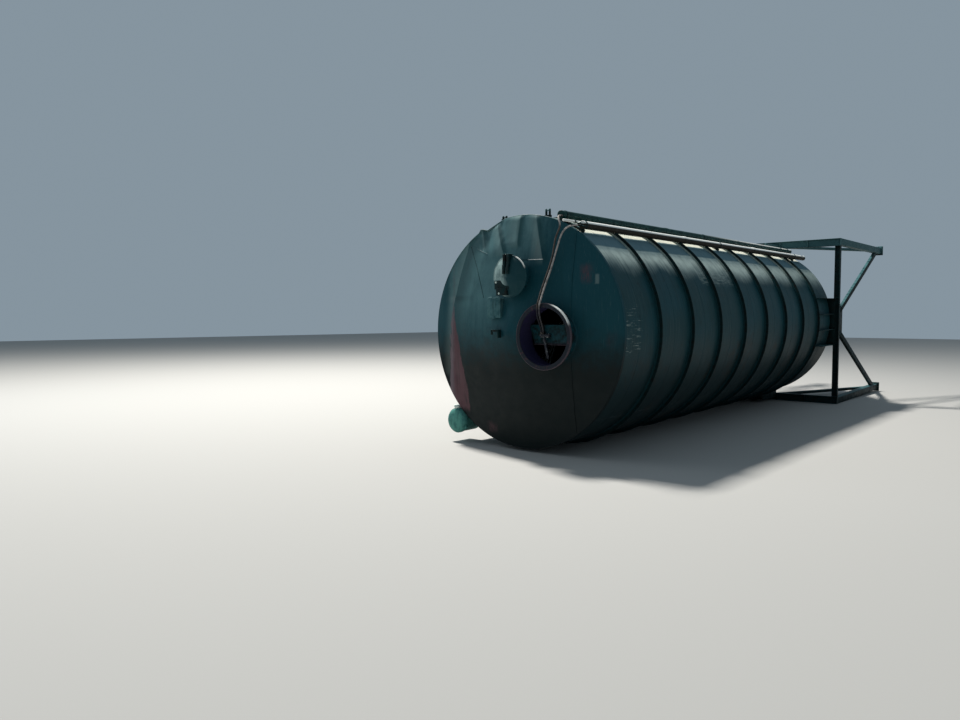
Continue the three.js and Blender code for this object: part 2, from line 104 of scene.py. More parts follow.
# Sizes in metres
HOOP_RADIUS = size("hoop_1").x / 2
HOOP_HEIGHT = 0.065
HOOP_WIDTH = 0.014
SHELL_RADIUS = HOOP_RADIUS - HOOP_HEIGHT
SHELL_LENGTH = 8.850
SHELL_WALL = 0.006
SHELL_JOINT = HOOPS[4]
GAP = 0.0003

ROOF_HEIGHT = 0.340
ROOF_PLATE = 0.006
RIM_HEIGHT = 0.045

NECK_X = 0.603
NECK_Z = -0.035
NECK_RADIUS = 0.385
NECK_WALL = 0.008
NECK_FRONT = -0.330
NECK_LIP_RADIUS = 0.436
NECK_STEPS = 96

PLATE_Y = -0.130
PLATE_THICK = 0.008
PLATE_LOW = -0.150
PLATE_HIGH = 0.115
PLATE_LEFT_LOW = 0.330
PLATE_LEFT_HIGH = 0.235

VALVE_X = 0.077
VALVE_Z = 0.761
VALVE_RADIUS = 0.264
VALVE_NECK = 0.190
VALVE_FRONT = -0.340
VALVE_RIM = 0.034
LID_RADIUS = 0.276
LID_RISE = 0.075
HATCH_HEIGHT = 0.272
HATCH_FRONT = -0.330

HOSE_RADIUS = 0.011
PIPE_RADIUS = 0.052
PIPES_IN_NOTCHES = ("top_pipe", "side_pipe")
CONDUIT_RADIUS = 0.016
FILL_RADIUS = 0.050
POT_RADIUS = 0.175

FRAME_HALF = 1.775
RING_START = 8.780
BEAM_DEPTH = 0.082
LEG_SIZE = 0.140
LEG_END = 12.400
FOOT_PLATE = 0.020
CONSOLE_START = 7.850
CONSOLE_OUT = 1.700
HOPPER_END = 11.362
OUTLET_RADIUS = 0.150
FLANGE_RADIUS = 0.215

# Folds in the roof plates: (x, z) of the top and the foot, width of the left and the right side,
# and depth, which is under 0 on a fold that stands towards the front
FOLDS = (
    ((0.016, 1.60), (0.020, 1.22), 0.36, 0.05, -0.030),
    ((0.280, 1.56), (0.455, 0.98), 0.24, 0.09, -0.019),
    ((-0.413, 1.54), (-0.215, 1.12), 0.26, 0.06, -0.036),
    ((-0.700, 1.46), (-0.620, 1.20), 0.07, 0.10, 0.020),
    ((-0.930, 1.34), (-1.234, 0.50), 0.26, 0.42, 0.030),
    ((-1.234, 0.50), (-1.350, -0.60), 0.22, 0.42, 0.030),
)

# Camera as the photograph was taken: place and turn in the row frame
CAMERA_PLACE = (6.100, -13.914, 1.857)
CAMERA_TURN = (86.66, 0.0, 40.91)
CAMERA_LENS = 27.075
CAMERA_SENSOR = 36.0


def from_hex(code):
    """The linear colour of an sRGB hex value."""
    channels = [int(code[i:i + 2], 16) / 255 for i in (1, 3, 5)]
    return tuple(c / 12.92 if c <= 0.04045 else ((c + 0.055) / 1.055) ** 2.4 for c in channels) + (1.0,)


def colour(label, code):
    return FloatVectorProperty(
        name=label, description=f"{label} of the silo", subtype="COLOR", size=4, min=0, max=1,
        default=from_hex(code))


def length(label, value, low=0.0):
    return FloatProperty(
        name=label, description=f"{label} in metres", unit="LENGTH", default=value, min=low)


class SiloSizes(bpy.types.PropertyGroup):
    """Sizes that shape the dressed pieces."""
    dent_depth: length("Depth of the dents in the shell", 0.006)
    fold_share: FloatProperty(
        name="Folds in the roof", description="Share of their real depth that the roof's folds get",
        subtype="FACTOR", default=1.0, min=0.0, max=1.0)
    buckle_depth: length("Depth of the buckle in the rim", 0.042)
    weld_size: length("Size of a weld bead", 0.006)
    round_steps: IntProperty(
        name="Steps round the shell", description="Straight steps of one full turn of the shell",
        default=192, min=48, max=384)


class SiloFinish(bpy.types.PropertyGroup):
    """Colours of the paints and bare metals."""
    flank: colour("Green paint of the shell", "#173b40")
    flank_blue: colour("Blue-green paint of the shell", "#113e46")
    roof: colour("Green paint of the roof", "#0e3d46")
    # Also laid on the roof's upper left as painted sky reflection and grazing sunlight.
    roof_dull: colour("Roof paint dulled by the sun", "#42666a")
    # Painted shadow: the bluish shade that the side pipe casts on the shell.
    lee: colour("Painted shadow of the side pipe", "#426a78")
    # Sun-bleached chalk. On the shell's upper flank it also stands for sunlight, and along the roof's folds
    # and on one roof facet it is a painted highlight.
    chalk: colour("Paint bleached to chalk", "#bccbc3")
    # Painted light: the sunlit strip of shell just under the side pipe.
    bleach: colour("Painted sunlit strip in near white", "#dcdccd")
    # Dirt, and also painted shade where it darkens the lower flank and the roof's lower part.
    grime: colour("Dirt on the paint", "#121716")
    # The dark green of hoops and beams, made near black partly as painted shade of their faces in shadow;
    # also laid as painted shade beside the hoops, along the roof's folds, under the buckled rim and over the
    # valve lid's right half.
    deep: colour("Dark green of hoops and beams", "#032527")
    pipe: colour("Dark green of the pipes", "#0a3433")
    soot: colour("Brown dirt under the side pipe", "#2c241b")
    inner: colour("Unpainted inside of the neck", "#2b2945")
    primer: colour("Red oxide primer", "#54393f")
    primer_pale: colour("Chalky primer", "#675a60")
    slate: colour("Dark dusty paint of the neck's lip", "#20242c")
    rust: colour("Rust", "#4a2c1e")
    mint: colour("Light green paint of the pot", "#4f8a80")
    valve: colour("Weathered paint of the valve", "#93aaa7")
    zinc: colour("Galvanised steel", "#b9bcb8")
    # Also used as painted highlights: the white lines on the pipes, the arc on the valve lid's rim and the
    # arc on the neck lip.
    conduit: colour("White crust on the conduit", "#e6e8e3")
    hose: colour("Dusty hose", "#9d9793")
    hose_dark: colour("Dark hose", "#4d4642")
    rubber: colour("Black rubber", "#24221f")
    floor: colour("Studio floor", "#a5a4a1")


WELD_DISTANCE = 1e-5
FLAT_ANGLE = math.radians(32)
SHARP_EDGE = math.radians(40)


# Shapes: each returns a bmesh, drawn in the silo's own place
def moved(shape, matrix):
    bmesh.ops.transform(shape, matrix=matrix, verts=shape.verts)
    return shape


def mesh_of(shape, name):
    """The mesh of a bmesh, which is used up."""
    mesh = bpy.data.meshes.new(name)
    shape.to_mesh(mesh)
    shape.free()
    return mesh


def joined(*shapes):
    """One bmesh of several, which are used up."""
    whole = bmesh.new()
    for shape in shapes:
        mesh = mesh_of(shape, "part")
        whole.from_mesh(mesh)
        bpy.data.meshes.remove(mesh)
    return whole


def stamped(shape, places):
    """Copies of a bmesh at each place, as one bmesh."""
    whole = bmesh.new()
    mesh = mesh_of(shape, "stamp")
    for place in places:
        mesh.transform(place)
        whole.from_mesh(mesh)
        mesh.transform(place.inverted())
    bpy.data.meshes.remove(mesh)
    return whole


def rounded(shape, edges, offset, segments=2):
    """Rounds some edges of a bmesh."""
    bmesh.ops.bevel(
        shape, geom=edges, offset=offset, segments=segments, profile=0.5, affect="EDGES", material=-1)


def drawn(shape, places, closed=False):
    """Adds a line through the places to a bmesh, and gives its vertices and edges."""
    verts = [shape.verts.new(place) for place in places]
    following = verts[1:] + verts[:1] if closed else verts[1:]
    return verts + [shape.edges.new(pair) for pair in zip(verts, following)]


def block(low, high, edge=0.0, segments=2):
    """A box between two corners, its edges rounded."""
    low, high = Vector(low), Vector(high)
    shape = bmesh.new()
    place = Matrix.Translation((low + high) / 2) @ Matrix.Diagonal((*(high - low), 1.0))
    bmesh.ops.create_cube(shape, size=1.0, matrix=place)
    if edge:
        rounded(shape, shape.edges[:], edge, segments)
    return shape


def aim(start, end):
    """The matrix that takes Z to the line from start to end, with its middle between them."""
    start, end = Vector(start), Vector(end)
    turn = (end - start).to_track_quat("Z", "Y").to_matrix().to_4x4()
    return Matrix.Translation((start + end) / 2) @ turn


def rod(start, end, radius, sides=24, edge=0.0, radius_end=None):
    """A round bar from start to end, with rounded rims."""
    shape = bmesh.new()
    long = (Vector(end) - Vector(start)).length
    bmesh.ops.create_cone(
        shape, cap_ends=True, segments=sides, radius1=radius,
        radius2=radius if radius_end is None else radius_end, depth=long)
    if edge:
        rims = [e for e in shape.edges if abs(e.verts[0].co.z - e.verts[1].co.z) < long / 4]
        rounded(shape, rims, edge)
    return moved(shape, aim(start, end))


def turned(profile, steps, centre=(0.0, 0.0, 0.0)):
    """A closed outline of (radius, place along the axis) spun round the Y axis."""
    shape = bmesh.new()
    outline = drawn(shape, [(radius, along, 0.0) for radius, along in profile], closed=True)
    bmesh.ops.spin(
        shape, geom=outline, cent=(0, 0, 0), axis=(0, 1, 0), angle=2 * math.pi, steps=steps,
        use_merge=True, use_duplicate=False)
    bmesh.ops.remove_doubles(shape, verts=shape.verts, dist=WELD_DISTANCE)
    bmesh.ops.delete(shape, geom=[e for e in shape.edges if not e.link_faces], context="EDGES")
    return moved(shape, Matrix.Translation(centre))


def plate(outline, y0, y1, edge=0.0):
    """A flat outline of (x, z) made a plate from y0 to y1, its corners rounded."""
    shape = bmesh.new()
    face = shape.faces.new([shape.verts.new((x, y0, z)) for x, z in outline])
    made = bmesh.ops.extrude_face_region(shape, geom=[face])["geom"]
    back = [g for g in made if isinstance(g, bmesh.types.BMVert)]
    bmesh.ops.translate(shape, vec=(0, y1 - y0, 0), verts=back)
    bmesh.ops.recalc_face_normals(shape, faces=shape.faces)
    if edge:
        rounded(shape, [e for e in shape.edges if e.calc_face_angle(0.0) > SHARP_EDGE], edge)
    return shape


def section(outline, z0, z1, edge=0.0):
    """A flat outline of (x, y) made a bar from z0 to z1."""
    shape = plate([(x, -y) for x, y in outline], z0, z1, edge)
    return moved(shape, Matrix.Rotation(math.pi / 2, 4, "X"))


def beam_outline(height, depth, flange, web):
    """An I-section round the origin, its flanges at each end of its height along X."""
    x, y, inner, half = height / 2, depth / 2, height / 2 - flange, web / 2
    return [(-x, -y), (-inner, -y), (-inner, -half), (inner, -half), (inner, -y), (x, -y),
            (x, y), (inner, y), (inner, half), (-inner, half), (-inner, y), (-x, y)]


def band(outer, inner, y0, y1, edge=0.0):
    """The outline of a flat ring, its outer corners cut by edge."""
    return [
        (inner, y0), (outer - edge, y0), (outer, y0 + edge), (outer, y1 - edge), (outer - edge, y1),
        (inner, y1),
    ] if edge else [(inner, y0), (outer, y0), (outer, y1), (inner, y1)]


def ring(outer, inner, y0, y1, edge=0.0, steps=40, centre=(0.0, 0.0, 0.0)):
    """A flat ring round the Y axis through centre, its outer corners cut by edge."""
    return turned(band(outer, inner, y0, y1, edge), steps, centre)


def collars(radius, thick, half, places, centre, edge=0.001, steps=40):
    """Short rings on a pipe: thick over its radius, and half to each side of their places."""
    return [ring(radius + thick, radius - 0.001, along - half, along + half, edge, steps, centre)
            for along in places]


def bolt(across, head, washer):
    """A hexagon bolt head on its washer, standing on Z = 0."""
    hexagon = rod((0, 0, 0), (0, 0, head), across / 2 / math.cos(math.pi / 6), 6, across * 0.06)
    return joined(hexagon, rod((0, 0, 0), (0, 0, 0.003), washer / 2, 16))


def front_bolts(across, head, washer, places):
    """Like bolt heads at some places, which face the silo's roof end."""
    return stamped(bolt(across, head, washer), [Matrix.Translation(place) @ TO_FRONT for place in places])


def bead(points, radius, lumps=0.15, seed=1):
    """A weld bead: a thin rippled bar through a few points, half sunk in the plate."""
    draw = random.Random(seed)
    parts = []
    for start, end in zip(points, points[1:]):
        start, end = Vector(start), Vector(end)
        steps = max(2, int((end - start).length / (radius * 5)))
        shape = bmesh.new()
        bmesh.ops.create_circle(shape, cap_ends=True, segments=6, radius=radius)
        face = shape.faces[:]
        long = (end - start).length
        moved(shape, Matrix.Translation((0, 0, -long / 2)))
        for _ in range(steps):
            made = bmesh.ops.extrude_face_region(shape, geom=face)["geom"]
            face = [g for g in made if isinstance(g, bmesh.types.BMFace)]
            ring = [g for g in made if isinstance(g, bmesh.types.BMVert)]
            bmesh.ops.translate(shape, vec=(0, 0, long / steps), verts=ring)
            swell = 1 + draw.uniform(-lumps, lumps)
            for vert in ring:
                away = Vector((vert.co.x, vert.co.y, 0)).normalized() * radius * swell
                vert.co.x, vert.co.y = away.x, away.y
        inside = [f for f in shape.faces if all(len(e.link_faces) > 2 for e in f.edges)]
        bmesh.ops.delete(shape, geom=inside, context="FACES")
        parts.append(moved(shape, aim(start, end)))
    return joined(*parts)


def arc(radius, start, end, steps, x=0.0, z=0.0):
    """Points of (x, z) round a centre, from start to end in degrees from the top towards +X."""
    turns = [math.radians(start + (end - start) * i / steps) for i in range(steps + 1)]
    return [(x + radius * math.sin(turn), z + radius * math.cos(turn)) for turn in turns]


def around(radius, degrees, along=0.0):
    """A place at that radius round the silo: degrees from its top towards +X."""
    turn = math.radians(degrees)
    return Vector((radius * math.sin(turn), along, radius * math.cos(turn)))


def turn_to(degrees):
    """Turns a shape drawn on the silo's top round to that angle."""
    return Matrix.Rotation(math.radians(degrees), 4, "Y")


TO_FRONT = Matrix.Rotation(math.pi / 2, 4, "X")
SWAP_X_AND_Y = Matrix(((0, 1, 0, 0), (1, 0, 0, 0), (0, 0, 1, 0), (0, 0, 0, 1)))


def in_scene(name, data):
    """An object of that data, linked to the scene."""
    made = bpy.data.objects.new(name, data)
    bpy.context.scene.collection.objects.link(made)
    return made


def piece(name, shape, finish, stands_for=(), turn_out=True, smooth=FLAT_ANGLE):
    """A finished piece from a bmesh in the silo's own place: normals out, laid in the row frame."""
    if turn_out:
        bmesh.ops.recalc_face_normals(shape, faces=shape.faces)
    shape.transform(LIE)
    mesh = mesh_of(shape, name)
    mesh.materials.append(material(finish))
    mesh.shade_smooth()
    mesh.set_sharp_from_angle(angle=smooth)
    made = in_scene(name, mesh)
    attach(made, "root")
    if stands_for:
        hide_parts(*stands_for)
    return made


# Materials
def add_node(tree, kind, inputs=None, **settings):
    """Adds a node: its settings are set, and each input gets a value or a link from a socket."""
    made = tree.nodes.new(kind)
    for name, value in settings.items():
        setattr(made, name, value)
    for socket, value in (inputs or {}).items():
        if isinstance(value, bpy.types.NodeSocket):
            tree.links.new(value, made.inputs[socket])
        else:
            made.inputs[socket].default_value = value
    return made


def tone_of(tone):
    """The user's colour of that name; a socket stays as it is."""
    return tuple(getattr(bpy.context.scene.silo_finish, tone)) if isinstance(tone, str) else tone


class Coats:
    """A material as it is built up: coats laid one over another, placed on the silo's own axes."""

    def __init__(self, name, tone):
        self.made = bpy.data.materials.new(name)
        self.made.use_nodes = True
        self.tree = self.made.node_tree
        self.tree.nodes.clear()
        self.place = add_node(
            self.tree, "ShaderNodeMapping",
            {"Vector": add_node(self.tree, "ShaderNodeTexCoord").outputs["Object"],
             "Location": RIM_MIDDLE, "Rotation": (TILT, 0.0, 0.0)},
            vector_type="TEXTURE").outputs["Vector"]
        self.x, self.y, self.z = add_node(
            self.tree, "ShaderNodeSeparateXYZ", {"Vector": self.place}).outputs
        self.base = tone_of(tone)

    def pattern(self, cell_mm, detail=4.0, stretch=(1.0, 1.0, 1.0), rough=0.55, place=None):
        """Noise whose cells are cell_mm wide, stretched along an axis where its factor is under 1."""
        laid = add_node(self.tree, "ShaderNodeMapping",
                        {"Vector": place or self.place, "Scale": stretch}).outputs["Vector"]
        return add_node(self.tree, "ShaderNodeTexNoise", {
            "Vector": laid, "Scale": 1000 / cell_mm, "Detail": detail, "Roughness": rough}).outputs["Fac"]

    def share(self, *limits):
        """How far all limits hold, from 0 to 1. A limit is a share, or a value with the two ends of
        its range and, where they aren't 0 and 1, what it gives there."""
        whole = None
        for limit in limits:
            if isinstance(limit, tuple):
                value, low, high, start, end = limit if len(limit) == 5 else (*limit, 0.0, 1.0)
                limit = add_node(
                    self.tree, "ShaderNodeMapRange",
                    {"Value": value, "From Min": low, "From Max": high, "To Min": start, "To Max": end},
                    interpolation_type="SMOOTHSTEP").outputs["Result"]
            whole = limit if whole is None else add_node(
                self.tree, "ShaderNodeMath", {0: whole, 1: limit}, operation="MULTIPLY").outputs["Value"]
        return whole

    def laid(self, under, over, *limits):
        """The colour of over laid on under where all limits hold."""
        return add_node(
            self.tree, "ShaderNodeMix",
            {"Factor": self.share(*limits), 6: tone_of(under), 7: tone_of(over)},
            data_type="RGBA").outputs[2]

    def coat(self, tone, *limits):
        self.base = self.laid(self.base, tone, *limits)

    def ragged(self, value, pattern, reach, still=0.0):
        """A value moved by a pattern times reach, and not moved where the pattern is at still."""
        return add_node(
            self.tree, "ShaderNodeMath",
            {0: add_node(self.tree, "ShaderNodeMath", {0: pattern, 1: -still}).outputs["Value"],
             1: reach, 2: value}, operation="MULTIPLY_ADD").outputs["Value"]

    def right_of(self, top, foot):
        """How far a place on the roof is to the right of the line between two (x, z)."""
        line = add_node(self.tree, "ShaderNodeMapRange", {
            "Value": self.z, "From Min": foot[1], "From Max": top[1], "To Min": foot[0],
            "To Max": top[0]}).outputs["Result"]
        return self.ragged(self.x, line, -1.0)

    def from_middle(self, x, z):
        """How far a place is from a round piece's middle line, and its angle from the top to +X."""
        flat = add_node(self.tree, "ShaderNodeCombineXYZ", {
            "X": self.ragged(-x, self.x, 1.0), "Y": self.ragged(-z, self.z, 1.0)}).outputs["Vector"]
        away = add_node(self.tree, "ShaderNodeVectorMath", {0: flat}, operation="LENGTH").outputs["Value"]
        across, up, _ = add_node(self.tree, "ShaderNodeSeparateXYZ", {"Vector": flat}).outputs
        turn = add_node(self.tree, "ShaderNodeMath", {0: across, 1: up}, operation="ARCTAN2")
        return away, turn.outputs["Value"]

    def round_place(self):
        """The distance from the axis, the angle from the top, and metres round and along the shell."""
        away, turn = self.from_middle(0.0, 0.0)
        arc = self.ragged(0.0, turn, SHELL_RADIUS)
        laid = add_node(self.tree, "ShaderNodeCombineXYZ", {"X": arc, "Y": self.y}).outputs["Vector"]
        return away, turn, arc, laid

    def patch(self, pattern, across, up, soft=0.05, broken=0.24, values=None):
        """1 in a patch between two places across and two up, its edges broken by the pattern."""
        limits = []
        for value, (low, high) in zip(values or (self.x, self.z), (across, up)):
            edge = self.ragged(value, pattern, broken, 0.5)
            limits += [(edge, low - soft, low + soft), (edge, high + soft, high - soft)]
        return self.share(*limits)

    def finish(self, rough, height, height_mm=0.8, metallic=0.0, gloss=0.12):
        """Adds the shader with a roughness and a bump of that height, and gives the material."""
        bump = add_node(self.tree, "ShaderNodeBump",
                        {"Height": height, "Distance": height_mm / 1000, "Strength": 1.0})
        shader = add_node(self.tree, "ShaderNodeBsdfPrincipled", {
            "Base Color": self.base, "Roughness": self.share(rough),
            "Normal": bump.outputs["Normal"], "Metallic": metallic, "Specular IOR Level": gloss})
        add_node(self.tree, "ShaderNodeOutputMaterial", {"Surface": shader.outputs["BSDF"]})
        return self.made


def shell_paint():
    """Alkyd paint on rolled steel plate. The upper flank is pale, partly chalk bleached by the sun and
    partly painted sunlight. Under the side pipe a bluish band is its painted shadow, with a near-white
    painted sunlit strip just above it. Painted shade runs beside each hoop and darkens the lower flank, and
    rain has drawn streaks, browner low down."""
    paint = Coats("shell_alkyd_paint", "flank")
    _, turn, arc, laid = paint.round_place()
    broad = paint.pattern(900, 3, place=laid)
    mottle = paint.pattern(130, 5, rough=0.62, place=laid)
    streak = paint.pattern(60, 5, (0.07, 1.0, 1.0), 0.62, laid)
    fine_streak = paint.pattern(14, 4, (0.03, 1.0, 1.0), 0.6, laid)
    scratches = paint.pattern(26, 5, (1.0, 0.10, 1.0), 0.7, laid)
    paint.coat("flank_blue", (broad, 0.38, 0.62))
    paint.coat("chalk", (fine_streak, 0.50, 0.78, 0.0, 0.07))
    paint.coat("grime", (mottle, 0.55, 0.75, 0.0, 0.35))

    # The pale upper flank is partly sun-bleached chalk and partly painted sunlight: its lower edge follows
    # where the sunlit zone ends.
    wander = paint.ragged(paint.ragged(0.0, broad, 0.30, 0.5), streak, 0.14, 0.5)
    edge = paint.ragged(turn, wander, 1.0)
    lower_edge = paint.ragged(edge, paint.share((paint.y, 0.9, 3.2)), -0.05)
    chalk = paint.share((lower_edge, 1.07, 0.85), (edge, -1.25, -0.95), (paint.y, 4.5, 8.5, 1.0, 0.75),
                        (turn, 0.30, 0.48, 0.22, 1.0), (mottle, 0.28, 0.62, 0.74, 1.0))
    paint.coat("chalk", chalk)
    paint.coat("grime", (streak, 0.50, 0.74, 0.0, 0.30))

    # Painted shadow and light by the side pipe: a bluish band below it stands for its shadow on the shell,
    # and a near-white strip under the pipe, above that band, stands for the sunlit shell there.
    side_pipe = seat("side_pipe")
    lee = math.atan2(side_pipe.x, side_pipe.z)
    lee_turn = paint.ragged(turn, wander, 0.12)
    paint.coat("lee", (lee_turn, lee + 0.008, lee + 0.018), (lee_turn, lee + 0.215, lee + 0.195), 0.85)
    paint.coat("bleach", (lee_turn, lee - 0.10, lee - 0.04), (lee_turn, lee + 0.020, lee + 0.010), 0.84)

    # Painted shade: a dark band along both sides of every hoop.
    to_hoop = add_node(
        paint.tree, "ShaderNodeMath",
        {0: paint.ragged(-HOOP_FIRST, paint.y, 1.0), 1: HOOP_PITCH / 2}, operation="PINGPONG")
    beside = paint.ragged(to_hoop.outputs["Value"], streak, 0.03)
    paint.coat("deep", (beside, 0.036, 0.020, 0.0, 0.35))
    # Painted shade: the flank darkens towards the bottom.
    low = paint.ragged(paint.z, streak, 0.7)
    paint.coat("grime", (low, 0.45, -0.55, 0.0, 0.66))
    paint.coat("soot", (broad, 0.50, 0.64), (mottle, 0.36, 0.60), (low, 0.50, 0.10), (turn, 1.0, 1.3), 0.45)
    rubbed = paint.patch(streak, (2.18, 2.76), (0.02, 0.43), 0.05, 0.25, (arc, paint.y))
    paint.coat("chalk", rubbed, (scratches, 0.54, 0.66), 0.34)
    worn = paint.patch(mottle, (1.58, 1.80), (2.62, 3.80), 0.05, 0.16, (arc, paint.y))
    paint.coat("chalk", worn, (scratches, 0.42, 0.60), 0.30)
    paint.coat("primer_pale", (paint.pattern(32, 6, rough=0.75, place=laid), 0.735, 0.765))
    return paint.finish((chalk, 0.0, 1.0, 0.50, 0.80), paint.ragged(mottle, paint.pattern(6, 2), 0.3), 1.2)


def roof_paint():
    """Alkyd paint on the roof plates. Its upper left is paler, as painted sky reflection and grazing
    sunlight. Each fold has a painted highlight on its left and painted shade on its right, a facet has a
    painted sunlit patch, the buckled rim has painted shadow below it, and the roof darkens towards the
    bottom as painted shade. It is streaked by rain that ran down it as it lies, with red oxide primer bare
    in a long wedge where the paint has peeled by the rim."""
    paint = Coats("roof_alkyd_paint", "roof")
    mottle = paint.pattern(120, 5, rough=0.62)
    streak = paint.pattern(55, 5, (1.0, 1.0, 0.08), 0.6)
    fine_streak = paint.pattern(12, 4, (1.0, 1.0, 0.04), 0.6)
    flaked = paint.pattern(90, 6, (1.0, 1.0, 0.3), 0.68)
    paint.coat("flank_blue", (paint.pattern(800, 3), 0.38, 0.66, 0.0, 0.5))
    # Painted light: the upper left of the roof is paler, standing for the sky's reflection and grazing
    # sunlight there.
    past = paint.ragged(paint.right_of((0.42, 1.20), (-0.20, 0.60)), streak, 0.5)
    paint.coat("roof_dull", (past, 0.48, -0.05), (paint.ragged(paint.z, streak, 0.8), -0.10, 1.10),
               (paint.x, -1.40, -1.29, 0.15, 1.0), (mottle, 0.25, 0.65, 0.70, 1.0), 0.90)
    paint.coat("deep", (streak, 0.50, 0.80, 0.0, 0.25))
    paint.coat("chalk", (fine_streak, 0.56, 0.80, 0.0, 0.05))
    # Painted shade: the roof darkens towards the bottom.
    paint.coat("grime", (paint.ragged(paint.z, mottle, 0.5), 0.45, -0.30, 0.0, 0.94))
    # Painted highlight: a pale facet between two folds near the top, where grazing sunlight catches it.
    paint.coat("chalk", (paint.right_of((0.26, 1.53), (0.22, 1.00)), -0.01, 0.06),
               (paint.right_of((0.28, 1.53), (0.45, 1.00)), 0.005, -0.010),
               (paint.z, 0.98, 1.0), (streak, 0.30, 0.60, 0.4, 1.0), 0.10)
    # Painted highlight and shade along each fold: pale on its left side, dark on its right.
    for top, foot, left, right, _ in FOLDS:
        off = paint.right_of(top, foot)
        span = paint.share((paint.z, foot[1] - 0.10, foot[1]), (paint.z, top[1] + 0.05, top[1]))
        paint.coat("chalk", span, (off, -left * 0.8, -0.01), (off, 0.008, -0.006), 0.08)
        paint.coat("deep", span, (off, -0.006, 0.008), (off, right * 1.4, 0.01), 0.40)

    inward = paint.ragged(paint.right_of((-1.275, 0.40), (-1.356, -0.61)), flaked, 0.16, 0.5)
    outward = paint.ragged(paint.right_of((-1.235, 0.40), (-0.929, -0.76)), flaked, 0.16, 0.5)
    height = paint.ragged(paint.z, flaked, 0.16, 0.5)
    bare = paint.laid("primer_pale", "primer", (inward, 0.02, 0.14))
    bare = paint.laid(bare, "deep", (streak, 0.45, 0.75, 0.0, 0.45))
    paint.coat(bare, (inward, -0.010, 0.022), (outward, 0.010, -0.030), (height, -1.20, -1.10),
               (height, 0.48, 0.10, 0.25, 1.0), 0.92)
    # The primer patches are bare primer; the two dark patches at the upper left are painted shadow under the
    # buckled rim.
    for tone, sides, heights, share in (
        ("primer", (1.015, 1.165), (0.665, 0.895), 0.60), ("primer", (1.40, 1.49), (-0.16, 0.02), 0.15),
        ("primer", (-0.60, -0.42), (-1.42, -1.30), 0.50), ("deep", (-0.76, -0.63), (1.39, 1.45), 0.75),
        ("deep", (-0.52, -0.41), (1.44, 1.50), 0.75),
    ):
        paint.coat(tone, paint.patch(flaked, sides, heights), (fine_streak, 0.62, 0.40, 0.25, 1.0), share)
    paint.coat("chalk", paint.patch(flaked, (1.215, 1.262), (0.63, 0.76), 0.015, 0.05), 0.16)
    return paint.finish((mottle, 0.3, 0.7, 0.46, 0.62), paint.ragged(mottle, paint.pattern(6, 2), 0.3), 1.0)


def section_paint(name, tone, cell_mm, dull_share, high_from=None):
    """Alkyd paint on steel sections: matt with small chips, and dulled by the sun by dull_share where
    it faces up, and everywhere past high_from."""
    paint = Coats(name, tone)
    mottle = paint.pattern(cell_mm, 5, rough=0.62)
    spots = paint.pattern(cell_mm / 2.5, 6, rough=0.72)
    grain = paint.pattern(5, 2)
    paint.coat("grime", (mottle, 0.35, 0.7))
    facing = add_node(paint.tree, "ShaderNodeNewGeometry").outputs["Normal"]
    up = add_node(paint.tree, "ShaderNodeSeparateXYZ", {"Vector": facing}).outputs["Z"]
    paint.coat("roof_dull", (up, 0.20, 0.85), (mottle, 0.25, 0.6), dull_share)
    if high_from is not None:
        paint.coat("roof_dull", (paint.z, high_from, high_from + 0.03, 0.0, 0.7))
    paint.coat(paint.laid("primer", "rust", (grain, 0.4, 0.6)), (spots, 0.65, 0.70))
    return paint.finish((mottle, 0.3, 0.7, 0.45, 0.68), paint.ragged(mottle, grain, 0.4))


def frame_paint():
    """Alkyd paint on rolled beams: matt dark green, dusty on top."""
    return section_paint("frame_alkyd_paint", "deep", 90, 0.80, FRAME_HALF - 0.165)


def pipe_paint():
    """Alkyd paint on steel tube: dark green, dulled a little on the upper side."""
    return section_paint("pipe_alkyd_paint", "pipe", 70, 0.55)


def hoop_paint():
    """Alkyd paint on flat bar: dark and dirty, and at its root coloured like the shell it is on, pale on the
    upper flank, where that pale is partly painted sunlight.
    """
    paint = Coats("hoop_alkyd_paint", "deep")
    away, turn, _, laid = paint.round_place()
    mottle = paint.pattern(60, 5, rough=0.62, place=laid)
    paint.coat("grime", (mottle, 0.35, 0.7))
    # The root takes the shell's colours: pale on the upper flank, where that pale is partly painted
    # sunlight.
    root = paint.laid("flank", "chalk", (turn, 1.05, 0.80, 0.0, 0.7))
    paint.coat(root, (paint.ragged(away, mottle, 0.012), SHELL_RADIUS + 0.036, SHELL_RADIUS + 0.026,
                      0.0, 0.85))
    paint.coat("rust", (paint.pattern(24, 6, rough=0.72), 0.70, 0.74))
    return paint.finish((mottle, 0.3, 0.7, 0.45, 0.68), mottle)


def crusted_pipe_paint():
    """Alkyd paint on the pipes along the shell: the side pipe has a white line along its top, partly a
    painted highlight of its sunlit top and partly the white conduit behind it drawn as paint, and is brown
    with dirt below; the top pipe has a painted highlight line along its top towards its far end."""
    paint = Coats("crusted_pipe_paint", "pipe")
    mottle = paint.pattern(70, 5, rough=0.62)
    specks = paint.pattern(14, 4)
    top, side = seat("top_pipe").z, seat("side_pipe").z
    up = paint.ragged(paint.z, specks, 0.006)
    on_side = (up, (top + side) / 2 + 0.004, (top + side) / 2 - 0.004)
    on_top = (up, (top + side) / 2 - 0.004, (top + side) / 2 + 0.004)
    paint.coat("deep", (mottle, 0.35, 0.7))
    paint.coat("soot", on_side, (up, side + 0.024, side + 0.006, 0.0, 0.85))
    # Painted highlights: a white line along the side pipe's top, partly its sunlit top and partly the white
    # conduit behind it drawn as paint, and a white line along the top pipe's top towards its far end.
    paint.coat("conduit", on_side, (up, side + 0.014, side + 0.022))
    paint.coat("conduit", on_top, (up, top + 0.022, top + 0.032), (paint.y, 4.0, 7.5, 0.0, 0.7))
    paint.coat("grime", (specks, 0.62, 0.74, 0.0, 0.45))
    return paint.finish((mottle, 0.3, 0.7, 0.45, 0.68), mottle)


